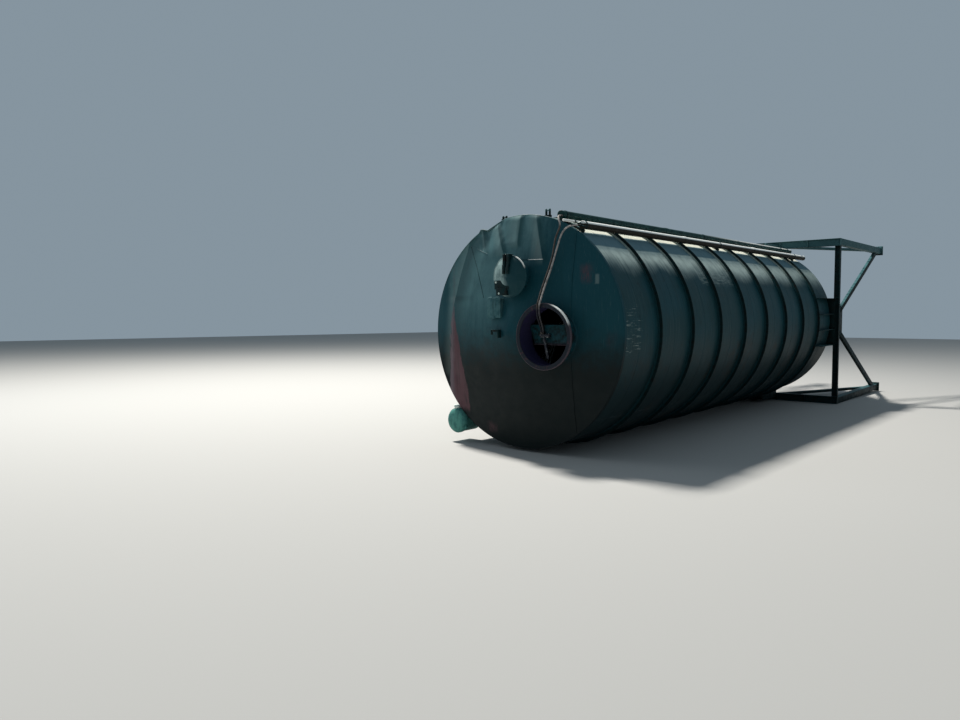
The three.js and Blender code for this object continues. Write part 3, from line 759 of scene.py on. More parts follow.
def plate_paint():
    """Alkyd paint in the shade of the neck: slate green, with rust creeping in from the cut edges."""
    paint = Coats("neck_alkyd_paint", "flank_blue")
    mottle = paint.pattern(70, 5, rough=0.62)
    paint.coat("grime", (mottle, 0.35, 0.7))
    paint.coat("deep", (paint.pattern(30, 4, (1.0, 1.0, 0.10)), 0.5, 0.75, 0.0, 0.4))
    paint.coat("primer", (paint.ragged(paint.z, mottle, 0.16), PLATE_LOW + 0.13, PLATE_LOW + 0.05, 0.0, 0.7))
    return paint.finish((mottle, 0.3, 0.7, 0.5, 0.75), mottle)


def tube_paint():
    """The neck's pipe: the roof's alkyd paint outside, and dark bare steel with cement dust inside."""
    paint = Coats("neck_tube_paint", "inner")
    mottle = paint.pattern(90, 5, rough=0.62)
    away, _ = paint.from_middle(NECK_X, NECK_Z)
    paint.coat("slate", (paint.pattern(30, 4, (1.0, 0.10, 1.0)), 0.45, 0.75, 0.0, 0.3))
    outside = paint.laid("roof", "grime", (mottle, 0.35, 0.7))
    paint.coat(outside, (away, NECK_RADIUS - 0.005, NECK_RADIUS - 0.003))
    return paint.finish((mottle, 0.3, 0.7, 0.5, 0.75), mottle)


def weathered_paint(name, pale, dark, cell_mm=90, lid=False):
    """Alkyd paint gone dull: pale and dry, darker where rain runs and dirt stays. The valve's lid has
    painted shade over its right half, and a painted highlight on its rim at the upper right."""
    paint = Coats(name, pale)
    mottle = paint.pattern(cell_mm, 5, rough=0.62)
    paint.coat(dark, (mottle, 0.35, 0.72, 0.05, 0.60))
    paint.coat("grime", (paint.pattern(cell_mm / 3, 4, (1.0, 1.0, 0.12)), 0.5, 0.75, 0.0, 0.35))
    if lid:
        # Painted shade over the lid's right half, and a painted highlight on its rim at the upper right.
        away, turn = paint.from_middle(VALVE_X, VALVE_Z)
        past = paint.ragged(paint.x, mottle, 0.10)
        lid_painted_shade = paint.share((past, VALVE_X - 0.06, VALVE_X + 0.06, 0.0, 0.96))
        paint.coat("roof", lid_painted_shade)
        paint.coat("deep", lid_painted_shade, 0.45)
        paint.coat("conduit", (turn, 0.30, 0.50), (turn, 1.25, 1.00),
                   (away, LID_RADIUS - 0.014, LID_RADIUS - 0.008), 0.9)
    paint.coat("rust", (paint.pattern(cell_mm / 4, 6, rough=0.75), 0.68, 0.74))
    return paint.finish((mottle, 0.3, 0.7, 0.55, 0.75), mottle)


def valve_paint():
    """Alkyd paint on the valve's lid, bleached grey-green."""
    return weathered_paint("valve_alkyd_paint", "valve", "flank_blue", lid=True)


def box_paint():
    """Alkyd paint on the hatch box, as dull as the roof around it."""
    return weathered_paint("hatch_alkyd_paint", "roof_dull", "flank_blue")


def pot_enamel():
    """Light green enamel on the impact pot, dirty and chipped."""
    return weathered_paint("pot_enamel", "mint", "roof", 110)


def worn_primer():
    """Worn paint over primer on a rolled lip: dark slate with pinkish grey edges, and a painted white
    highlight over an arc of its outer edge at the upper right, where sunlight catches it."""
    paint = Coats("worn_primer", "slate")
    mottle = paint.pattern(60, 6, rough=0.65)
    spots = paint.pattern(14, 5)
    away, turn = paint.from_middle(NECK_X, NECK_Z)
    edge = paint.ragged(away, spots, 0.010)
    paint.coat("primer", (mottle, 0.55, 0.72, 0.0, 0.6))
    paint.coat("primer_pale", (edge, NECK_LIP_RADIUS - 0.006, NECK_LIP_RADIUS + 0.002, 0.0, 0.55))
    paint.coat("deep", (spots, 0.54, 0.66, 0.0, 0.6))
    # Painted highlight: a white arc on the lip's outer edge at the upper right, where sunlight catches it.
    paint.coat("conduit", (turn, math.radians(12), math.radians(30)),
               (turn, math.radians(72), math.radians(60)),
               (edge, NECK_LIP_RADIUS - 0.012, NECK_LIP_RADIUS - 0.004))
    return paint.finish((mottle, 0.3, 0.7, 0.5, 0.75), spots, 0.6)


def galvanised_steel():
    """Hot-dip galvanised steel, weathered: dull grey spangle of about 12 mm, part metal, part salt."""
    metal = Coats("galvanised_steel", "zinc")
    spangle = add_node(metal.tree, "ShaderNodeTexVoronoi", {
        "Vector": metal.place, "Scale": 1000 / 12}).outputs["Distance"]
    mottle = metal.pattern(60, 4)
    metal.coat("chalk", (spangle, 0.0, 0.7))
    metal.coat("grime", (mottle, 0.60, 0.75, 0.0, 0.5))
    return metal.finish((mottle, 0.3, 0.7, 0.42, 0.62), spangle, 0.2, 0.55, 0.5)


def crusted_tube():
    """Galvanised tube under a white crust of zinc salts and cement dust: matt, almost white."""
    metal = Coats("crusted_galvanised_tube", "conduit")
    mottle = metal.pattern(60, 5)
    specks = metal.pattern(12, 4)
    metal.coat("zinc", (mottle, 0.55, 0.75, 0.0, 0.5))
    metal.coat("grime", (specks, 0.62, 0.74, 0.0, 0.5))
    return metal.finish((mottle, 0.3, 0.7, 0.55, 0.75), specks, 0.3, 0.10, 0.5)


def dusty_cast_steel():
    """Cast steel of the hose coupling: dark with dust, and grey metal showing through in patches."""
    metal = Coats("dusty_cast_steel", "slate")
    mottle = metal.pattern(30, 5)
    metal.coat("zinc", (mottle, 0.55, 0.75))
    return metal.finish((mottle, 0.3, 0.7, 0.4, 0.65), mottle, 0.3, 0.30, 0.5)


def braided_hose(name, tone):
    """Fabric-braided rubber hose: matt, with the braid's fine bias pattern, dusty near its upper end, and
    darkened inside the neck as painted shade."""
    rubber = Coats(name, tone)
    away, _ = rubber.from_middle(NECK_X, NECK_Z)
    rubber.coat("hose", (rubber.z, 1.36, 1.46))
    rubber.coat("grime", (rubber.pattern(45, 5), 0.42, 0.72, 0.0, 0.6))
    # Painted shade: the hose is darkened inside the neck.
    rubber.coat("slate", (away, NECK_RADIUS + 0.04, NECK_RADIUS - 0.04, 0.0, 0.85))
    return rubber.finish(0.8, rubber.pattern(4, 2), 0.4)


def dusty_hose():
    """The hose on the right, grey with cement dust."""
    return braided_hose("dusty_rubber_hose", "hose")


def dark_hose():
    """The hose on the left, its rubber still dark."""
    return braided_hose("dark_rubber_hose", "hose_dark")


def moulded_rubber():
    """Moulded black rubber of the glands: matt, grey with dust."""
    rubber = Coats("moulded_rubber", "rubber")
    dust = rubber.pattern(20, 5)
    rubber.coat("hose", (dust, 0.4, 0.75, 0.0, 0.5))
    return rubber.finish(0.75, dust, 0.2)


def studio_floor():
    """Plain studio floor, matt."""
    floor = Coats("studio_floor", "floor")
    return floor.finish(0.9, floor.pattern(3000, 2), 0.1)


# Each finish: what makes its material, and the name of its slot
FINISHES = {
    "shell": (shell_paint, "shell_paint"),
    "roof": (roof_paint, "roof_paint"),
    "tube": (tube_paint, "roof_paint"),
    "hoop": (hoop_paint, "hoop_paint"),
    "frame": (frame_paint, "frame_paint"),
    "pipe": (pipe_paint, "pipe_paint"),
    "crusted": (crusted_pipe_paint, "pipe_paint"),
    "neck": (plate_paint, "chalky_paint"),
    "valve": (valve_paint, "chalky_paint"),
    "box": (box_paint, "chalky_paint"),
    "mint": (pot_enamel, "chalky_paint"),
    "primer": (worn_primer, "primer_steel"),
    "zinc": (galvanised_steel, "galvanised_steel"),
    "conduit": (crusted_tube, "galvanised_steel"),
    "coupling": (dusty_cast_steel, "galvanised_steel"),
    "hose": (dusty_hose, "hose_rubber"),
    "hose_dark": (dark_hose, "hose_rubber"),
    "rubber": (moulded_rubber, "hose_rubber"),
    "floor": (studio_floor, None),
}
MADE = {}


def material(finish):
    if finish not in MADE:
        MADE[finish] = FINISHES[finish][0]()
    return MADE[finish]


# Camera and hoses
HOSE_ROUTES = {
    "hose_left": [
        (0.661, 0.0197, 1.538), (0.661, -0.024, 1.538), (0.672, -0.072, 1.527), (0.696, -0.112, 1.5),
        (0.722, -0.134, 1.458), (0.738, -0.139, 1.414), (0.733, -0.142, 1.368), (0.713, -0.144, 1.322),
        (0.684, -0.146, 1.262), (0.664, -0.149, 1.19), (0.65, -0.155, 1.1), (0.636, -0.166, 1),
        (0.609, -0.188, 0.88), (0.581, -0.22, 0.76), (0.558, -0.262, 0.64), (0.548, -0.308, 0.53),
        (0.547, -0.344, 0.448), (0.542, -0.362, 0.4), (0.531, -0.362, 0.352), (0.512, -0.338, 0.29),
        (0.49, -0.296, 0.22), (0.468, -0.228, 0.14), (0.456, -0.18, 0.076), (0.454, -0.164, 0.028),
        (0.454, -0.164, -0.0117),
    ],
    "hose_right": [
        (0.905, 0.0797, 1.397), (0.905, 0.034, 1.397), (0.898, -0.008, 1.397), (0.882, -0.05, 1.391),
        (0.86, -0.09, 1.38), (0.832, -0.12, 1.36), (0.802, -0.138, 1.33), (0.772, -0.146, 1.288),
        (0.746, -0.15, 1.232), (0.724, -0.153, 1.17), (0.698, -0.158, 1.09), (0.671, -0.166, 1),
        (0.644, -0.188, 0.88), (0.618, -0.22, 0.76), (0.596, -0.262, 0.64), (0.584, -0.308, 0.53),
        (0.58, -0.344, 0.448), (0.574, -0.362, 0.4), (0.564, -0.362, 0.352), (0.549, -0.338, 0.29),
        (0.528, -0.296, 0.22), (0.504, -0.228, 0.14), (0.489, -0.18, 0.076), (0.484, -0.164, 0.028),
        (0.484, -0.164, -0.0117),
    ],
}
ROUTE_STEP = 0.010


def smooth_route(points):
    """Centripetal Catmull-Rom curve through the points, as the hoses' solids follow it."""
    points = [Vector(p) for p in points]
    ends = [points[0] * 2 - points[1], *points, points[-1] * 2 - points[-2]]
    line = []
    for a, b, c, d in zip(ends, ends[1:], ends[2:], ends[3:]):
        knots = [0.0]
        for near, far in ((a, b), (b, c), (c, d)):
            knots.append(knots[-1] + math.sqrt((far - near).length))
        t0, t1, t2, t3 = knots
        steps = max(2, round((c - b).length / ROUTE_STEP))
        for i in range(steps):
            t = t1 + (t2 - t1) * i / steps
            ab = a.lerp(b, (t - t0) / (t1 - t0))
            bc = b.lerp(c, (t - t1) / (t2 - t1))
            cd = c.lerp(d, (t - t2) / (t3 - t2))
            abc = ab.lerp(bc, (t - t0) / (t2 - t0))
            bcd = bc.lerp(cd, (t - t1) / (t3 - t1))
            line.append(abc.lerp(bcd, (t - t1) / (t2 - t1)))
    line.append(points[-1])
    return line


def hose_curve(name, line, finish):
    """A round tube on the line, made of one open spline."""
    data = bpy.data.curves.new(name, "CURVE")
    data.dimensions = "3D"
    data.bevel_depth = HOSE_RADIUS
    data.bevel_resolution = 4
    data.use_fill_caps = True
    spline = data.splines.new("POLY")
    spline.points.add(len(line) - 1)
    for point, place in zip(spline.points, line):
        point.co = (*(LIE @ place), 1.0)
    spline.use_smooth = True
    data.materials.append(material(finish))
    return in_scene(name, data)


class SILO_OT_hoses(bpy.types.Operator):
    """Adds the camera at the photograph's viewing angle, and the two hoses"""
    bl_idname = "silo.hoses"
    bl_label = "Camera and hoses"

    def execute(self, context):
        data = bpy.data.cameras.new("camera")
        data.lens = CAMERA_LENS
        data.sensor_width = CAMERA_SENSOR
        data.clip_end = 200.0
        camera = in_scene("camera", data)
        camera.location = CAMERA_PLACE
        camera.rotation_euler = [math.radians(a) for a in CAMERA_TURN]
        context.scene.camera = camera
        for name, points in HOSE_ROUTES.items():
            line = smooth_route(points)
            finish = "hose" if name == "hose_right" else "hose_dark"
            hose = hose_curve(f"{name}_tube", line, finish)
            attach(hose, "root")
            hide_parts(name)
        return {"FINISHED"}


# Stage: each lamp has the direction that it stands in from the place that it lights, its distance and
# its width in metres, its power in watts and its colour
FLOOR_HALF = 60.0
LIT_PLACE = Vector((0.0, -2.5, 1.6))
LAMPS = (
    ("key", (-0.48, 0.01, 0.875), 26.0, 2.6, 15500, (1.0, 0.97, 0.92)),
    ("fill", (-0.80, -0.60, 0.45), 18.0, 9.0, 350, (0.85, 0.93, 1.0)),
)
SKY_COLOUR = (0.66, 0.83, 0.97, 1.0)
SKY_STRENGTH = 0.36


class SILO_OT_stage(bpy.types.Operator):
    """Adds the pale floor and the soft studio lights"""
    bl_idname = "silo.stage"
    bl_label = "Stage and lights"

    def execute(self, context):
        shape = bmesh.new()
        bmesh.ops.create_grid(shape, x_segments=1, y_segments=1, size=FLOOR_HALF)
        mesh = mesh_of(shape, "floor")
        mesh.materials.append(material("floor"))
        in_scene("floor", mesh)
        for name, towards, far, wide, power, tint in LAMPS:
            data = bpy.data.lights.new(name, "AREA")
            data.size = wide
            data.energy = power
            data.color = tint
            lamp = in_scene(name, data)
            direction = Vector(towards).normalized()
            lamp.location = LIT_PLACE + direction * far
            lamp.rotation_euler = direction.to_track_quat("Z", "Y").to_euler()
        world = bpy.data.worlds.new("studio")
        world.use_nodes = True
        background = world.node_tree.nodes["Background"].inputs
        background["Color"].default_value = SKY_COLOUR
        background["Strength"].default_value = SKY_STRENGTH
        context.scene.world = world
        context.scene.view_settings.view_transform = "Standard"
        return {"FINISHED"}


# Shell and hoops
def ease(value, low, high):
    """0 below low, 1 above high, smooth between."""
    share = min(1.0, max(0.0, (value - low) / (high - low)))
    return share * share * (3 - 2 * share)


# The rim's buckle, in degrees round the shell: its deepest place, how far it reaches to its steep and
# its long side, and the raised crest beside it. BUCKLE_REACH is how far it runs along the shell.
BUCKLE_ANGLE = -22.4
BUCKLE_STEEP = 2.6
BUCKLE_LONG = 14.0
BUCKLE_CREST = -26.0
CREST_WIDTH = 1.2
CREST_SHARE = 0.7
BUCKLE_REACH = 0.30


def buckle(x, z, along):
    """How deep the rim's buckle is at a place, from 0 to 1, and under 0 on its raised crest."""
    angle = math.degrees(math.atan2(x, z))
    off = angle - BUCKLE_ANGLE
    deep = ease(1 + off / BUCKLE_STEEP, 0, 1) if off < 0 else ease(1 - off / BUCKLE_LONG, 0, 1) ** 0.7
    crest = CREST_SHARE * math.exp(-((angle - BUCKLE_CREST) / CREST_WIDTH) ** 2)
    return (deep - crest) * math.exp(-(along / BUCKLE_REACH) ** 2)


def press_in(shape, sizes):
    """Dents a round shape: wide shallow dents in the plates, and the buckle at the rim."""
    for vert in shape.verts:
        x, y, z = vert.co
        radius = radius_of(vert.co)
        near = Vector((x * 0.9, y * 1.3, z * 0.9))
        wave = noise.noise(near) * sizes.dent_depth
        between = abs(math.sin(math.pi * (y - HOOP_FIRST) / HOOP_PITCH))
        deep = wave * min(1.0, between * 2) + sizes.buckle_depth * buckle(x, z, y)
        share = (radius - deep) / radius
        vert.co.x, vert.co.z = x * share, z * share


class SILO_OT_shell(bpy.types.Operator):
    """Makes the eight rolled shell plates, thin and lightly dented, and their weld seams"""
    bl_idname = "silo.shell"
    bl_label = "Shell plates"

    row_length = 0.09
    seam_lumps = 0.2

    def execute(self, context):
        sizes = context.scene.silo_sizes
        rings = {"upper": (0.0, SHELL_JOINT - GAP / 2), "lower": (SHELL_JOINT + GAP / 2, SHELL_LENGTH)}
        for name, (start, end) in rings.items():
            for quarter, side in enumerate(("top", "left", "bottom", "right")):
                shape = self.rolled(45 + 90 * quarter, start, end, sizes)
                piece(f"{name}_plate_{side}", shape, "shell", (f"shell_{name}_{side}",))
        self.seams(sizes)
        return {"FINISHED"}

    def rolled(self, degrees, start, end, sizes):
        """A quarter of the shell from start to end, rolled on from an angle and given its wall."""
        rows = round((end - start) / self.row_length)
        first = math.radians(degrees) + GAP / SHELL_RADIUS
        x, z = SHELL_RADIUS * math.cos(first), SHELL_RADIUS * math.sin(first)
        shape = bmesh.new()
        line = drawn(shape, [(x, start + (end - start) * i / rows, z) for i in range(rows + 1)])
        bmesh.ops.spin(
            shape, geom=line, cent=(0, 0, 0), axis=(0, -1, 0),
            angle=math.pi / 2 - 2 * GAP / SHELL_RADIUS, steps=sizes.round_steps // 4)
        press_in(shape, sizes)
        bmesh.ops.recalc_face_normals(shape, faces=shape.faces)
        face = shape.faces[:][0]
        outward = face.calc_center_median() * Vector((1, 0, 1))
        if face.normal.dot(outward) < 0:
            bmesh.ops.reverse_faces(shape, faces=shape.faces)
        bmesh.ops.solidify(shape, geom=shape.faces[:], thickness=SHELL_WALL)
        return shape

    def seams(self, sizes):
        """Round seams between the hoops, and a straight one along each joint of two plates."""
        bead_size = sizes.weld_size
        foot, crown = SHELL_RADIUS - bead_size, SHELL_RADIUS + bead_size / 4
        parts = []
        for i in range(HOOP_COUNT + 1):
            along = HOOP_FIRST + (i - 0.5) * HOOP_PITCH
            seam = turned([(foot, along - bead_size), (crown, along - bead_size / 2),
                           (crown, along + bead_size / 2), (foot, along + bead_size)], sizes.round_steps)
            press_in(seam, sizes)
            parts.append(seam)
        for quarter in range(4):
            ends = [around(SHELL_RADIUS - bead_size / 3, 45 + 90 * quarter, along)
                    for along in (0.01, SHELL_LENGTH)]
            parts.append(bead(ends, bead_size, self.seam_lumps, seed=quarter))
        piece("shell_weld_seams", joined(*parts), "shell")


class SILO_OT_hoops(bpy.types.Operator):
    """Makes the eight hoops of flat bar, with their stitch welds"""
    bl_idname = "silo.hoops"
    bl_label = "Hoops"

    stitches = 40
    stitch_half = 0.045
    stitch_wander = 1.2
    edge = 0.0015
    notch_reach = 0.16
    notch_cuts = 9

    def execute(self, context):
        sizes = context.scene.silo_sizes
        half = HOOP_WIDTH / 2
        for i, along in enumerate(HOOPS):
            bar = ring(HOOP_RADIUS, SHELL_RADIUS - 0.002, along - half, along + half, self.edge,
                       sizes.round_steps)
            self.notch(bar)
            stitch = bmesh.new()
            bmesh.ops.create_icosphere(stitch, subdivisions=1, radius=1.0, matrix=Matrix.Diagonal(
                (self.stitch_half, sizes.weld_size, sizes.weld_size * 1.2, 1.0)))
            draw = random.Random(i)
            places = [
                turn_to(360 * k / self.stitches + draw.uniform(-self.stitch_wander, self.stitch_wander))
                @ Matrix.Translation((0, along + side * half, SHELL_RADIUS + 0.001))
                for side in (-1, 1) for k in range(self.stitches)]
            piece(f"hoop_{i + 1}_bar", joined(bar, stamped(stitch, places)), "hoop", (f"hoop_{i + 1}",))
        return {"FINISHED"}

    def notch(self, bar):
        """Lowers the bar's outer edge to a round notch where each pipe lies in it."""
        seats = [seat(name) for name in PIPES_IN_NOTCHES]
        near = []
        for edge in bar.edges:
            a, b = (vert.co for vert in edge.verts)
            runs_round = abs(a.y - b.y) < 1e-4 and abs(radius_of(a) - radius_of(b)) < 1e-3
            by_a_pipe = any(math.hypot(co.x - s.x, co.z - s.z) < self.notch_reach
                            for co in (a, b) for s in seats)
            if runs_round and by_a_pipe and (a - b).length > 0.03:
                near.append(edge)
        bmesh.ops.subdivide_edges(bar, edges=near, cuts=self.notch_cuts, use_grid_fill=True)
        for vert in bar.verts:
            away = radius_of(vert.co)
            if away < SHELL_RADIUS + 0.02:
                continue
            for pipe in seats:
                off = angle_of(vert.co) - angle_of(pipe)
                half_chord = (PIPE_RADIUS + 0.001) ** 2 - (radius_of(pipe) * math.sin(off)) ** 2
                if half_chord > 0:
                    low = radius_of(pipe) * math.cos(off) - math.sqrt(half_chord)
                    if low < away:
                        vert.co.x, vert.co.z = vert.co.x * low / away, vert.co.z * low / away


# Roof
WAVE_DEPTH = 0.010


def roof_front(x, z, sizes):
    """How far along the axis the roof's outer face is at a place: cone, folds and dents. Towards the
    rim, which holds the plates, the folds keep within a limit and the dents fade."""
    radius = math.hypot(x, z)
    share = radius / SHELL_RADIUS
    along = -ROOF_HEIGHT * (1 - share) - ROOF_PLATE
    free = min(1.0, (SHELL_RADIUS - radius) / 0.10)
    limit = 0.004 + (SHELL_RADIUS - radius) * 0.45
    for (top_x, top_z), (foot_x, foot_z), left, right, depth in FOLDS:
        down = (top_z - z) / (top_z - foot_z)
        off = x - top_x - (foot_x - top_x) * min(1.0, max(0.0, down))
        fall = max(0.0, 1 - abs(off) / (left if off < 0 else right))
        reach = ease(down, -0.5, 0.0) * (1 - ease(down, 0.95, 1.25))
        fold = sizes.fold_share * depth * fall * reach
        along += max(-limit, min(limit, fold))
    wave = noise.noise(Vector((x * 1.5, z * 1.5, 4.0))) + 0.5 * noise.noise(Vector((x * 4, z * 4, 9.0)))
    along += wave * WAVE_DEPTH * free * ease(radius, 0.05, 0.4)
    return along + rim_buckle(x, z, sizes) * 0.5


def rim_buckle(x, z, sizes):
    """The depth of the rim's buckle in the roof plates: whole at the rim, and none further in."""
    return sizes.buckle_depth * buckle(x, z, 0.0) * ease(math.hypot(x, z), 1.2, 1.6)


class SILO_OT_roof(bpy.types.Operator):
    """Makes the roof plates with their folds, the rim and the weld seams"""
    bl_idname = "silo.roof"
    bl_label = "Roof"

    rings = 72
    apex_radius = 0.012
    smooth = math.radians(40)

    def execute(self, context):
        sizes = context.scene.silo_sizes
        self.plates(sizes)
        rim = ring(SHELL_RADIUS + 0.010, SHELL_RADIUS + GAP, -ROOF_PLATE, RIM_HEIGHT, 0.003,
                   sizes.round_steps)
        press_in(rim, sizes)
        piece("rim_band", rim, "roof", ("roof_rim",))
        self.seams(sizes)
        return {"FINISHED"}

    def plates(self, sizes):
        shape = bmesh.new()
        reach = SHELL_RADIUS - self.apex_radius
        line = drawn(shape, [(self.apex_radius + reach * i / self.rings, 0, 0)
                             for i in range(self.rings + 1)])
        bmesh.ops.spin(
            shape, geom=line, cent=(0, 0, 0), axis=(0, 1, 0), angle=2 * math.pi,
            steps=sizes.round_steps * 3 // 2, use_merge=True)
        bmesh.ops.remove_doubles(shape, verts=shape.verts, dist=WELD_DISTANCE)
        apex = [v for v in shape.verts if radius_of(v.co) < self.apex_radius * 1.01]
        bmesh.ops.pointmerge(shape, verts=apex, merge_co=(0, 0, 0))
        self.cut_neck(shape)
        bmesh.ops.recalc_face_normals(shape, faces=shape.faces)
        if shape.faces[:][0].normal.y > 0:
            bmesh.ops.reverse_faces(shape, faces=shape.faces)
        for vert in shape.verts:
            x, z = vert.co.x, vert.co.z
            share = 1 - rim_buckle(x, z, sizes) / max(math.hypot(x, z), 0.1)
            vert.co = (x * share, roof_front(x, z, sizes), z * share)
        bmesh.ops.solidify(shape, geom=shape.faces[:], thickness=ROOF_PLATE)
        piece("roof_plates", shape, "roof", ("roof_left", "roof_right"), turn_out=False,
              smooth=self.smooth)

    def cut_neck(self, shape):
        """Opens the flat disc for the neck, and draws the cut's edge onto the neck's circle."""
        centre = Vector((NECK_X, 0, NECK_Z))
        cut = NECK_RADIUS + 2 * GAP
        inside = {v for v in shape.verts if (v.co - centre).length < cut}
        gone = [f for f in shape.faces if all(v in inside for v in f.verts)]
        bmesh.ops.delete(shape, geom=gone, context="FACES")
        for vert in [v for v in shape.verts if v in inside]:
            vert.co = centre + (vert.co - centre).normalized() * cut

    def seams(self, sizes):
        """Weld beads on the roof: the plates' long joint, four short lines and the ring round the neck."""
        bead_size = sizes.weld_size
        lines = (
            ((0.905, 1.30), (0.905, -1.30), 44, 1.0, "roof"),
            ((0.12, 0.985), (0.46, 0.978), 16, 0.7, "valve"),
            ((-0.927, 1.247), (-0.527, 1.105), 16, 0.6, "box"),
            ((-0.927, 1.247), (-0.700, 0.888), 12, 0.5, "frame"),
            ((-0.700, 0.888), (-0.515, 0.486), 16, 0.5, "frame"),
        )
        parts = {}
        for start, end, steps, thick, finish in lines:
            points = []
            for i in range(steps + 1):
                x = start[0] + (end[0] - start[0]) * i / steps
                z = start[1] + (end[1] - start[1]) * i / steps
                points.append((x, roof_front(x, z, sizes) - bead_size * thick / 3, z))
            parts.setdefault(finish, []).append(bead(points, bead_size * thick, seed=steps))
        seam = turned([(NECK_RADIUS - 0.002, -0.010), (NECK_RADIUS + 0.012, 0.0),
                       (NECK_RADIUS - 0.002, 0.002)], NECK_STEPS)
        for vert in seam.verts:
            x, z = vert.co.x + NECK_X, vert.co.z + NECK_Z
            vert.co = (x, vert.co.y + roof_front(x, z, sizes), z)
        parts["roof"].append(seam)
        for finish, beads in parts.items():
            piece(f"roof_welds_{finish}", joined(*beads), finish)


# Neck
class SILO_OT_neck(bpy.types.Operator):
    """Makes the open filter neck, its rolled lip and the cross plate inside it"""
    bl_idname = "silo.neck"
    bl_label = "Filter neck"

    tube_end = -0.060
    lip_front = NECK_FRONT - 0.012
    lip_back = NECK_FRONT + 0.022
    lip_wall = 0.007
    end_steps = 8
    fold_out = 0.030

    def execute(self, context):
        centre = (NECK_X, 0, NECK_Z)
        inside = NECK_RADIUS - NECK_WALL
        tube = ring(NECK_RADIUS, inside, NECK_FRONT, self.tube_end, steps=NECK_STEPS, centre=centre)
        piece("neck_pipe", tube, "tube", ("neck_tube",))
        rolled = NECK_LIP_RADIUS - self.lip_wall
        lip = turned([
            (inside, self.lip_front + 0.003), (inside + 0.004, self.lip_front),
            (NECK_LIP_RADIUS - 0.006, self.lip_front), (NECK_LIP_RADIUS, self.lip_front + 0.004),
            (NECK_LIP_RADIUS, self.lip_back), (rolled, self.lip_back), (rolled, NECK_FRONT - GAP),
            (inside, NECK_FRONT - GAP),
        ], NECK_STEPS, centre)
        piece("neck_lip_ring", lip, "primer", ("neck_lip",))
        self.cross_plate(inside - 0.0008)
        return {"FINISHED"}

    def cross_plate(self, reach):
        """A web whose left end is cut at a slant, and its lower edge folded forward, with four bolts."""
        first, last = [math.asin((level - NECK_Z) / reach) for level in (PLATE_LOW, PLATE_HIGH)]
        turns = [first + (last - first) * i / self.end_steps for i in range(self.end_steps + 1)]
        right = [(NECK_X + reach * math.cos(turn), NECK_Z + reach * math.sin(turn)) for turn in turns]
        web = plate([(PLATE_LEFT_LOW, PLATE_LOW), *right, (PLATE_LEFT_HIGH, PLATE_HIGH)],
                    PLATE_Y, PLATE_Y + PLATE_THICK, 0.0012)
        fold = block((PLATE_LEFT_LOW, PLATE_Y - self.fold_out, PLATE_LOW),
                     (right[0][0] - 0.003, PLATE_Y + PLATE_THICK / 2, PLATE_LOW + PLATE_THICK), 0.002)
        heads = front_bolts(0.024, 0.012, 0.034, [
            (x, PLATE_Y, z) for x, z in ((0.36, -0.09), (0.88, -0.09), (0.90, 0.06), (0.30, 0.07))])
        piece("cross_plate", joined(web, fold, heads), "neck", ("neck_cross_plate",))


# Fittings on the roof and by the rim: they are drawn back to FOOT_Y, and from there onto the roof
FOOT_Y = -0.1


def stand_on_roof(shape, sizes, beyond):
    """Draws the points that lie past beyond onto the roof's outer face."""
    for vert in shape.verts:
        if vert.co.y > beyond:
            vert.co.y = roof_front(vert.co.x, vert.co.z, sizes) + 0.002


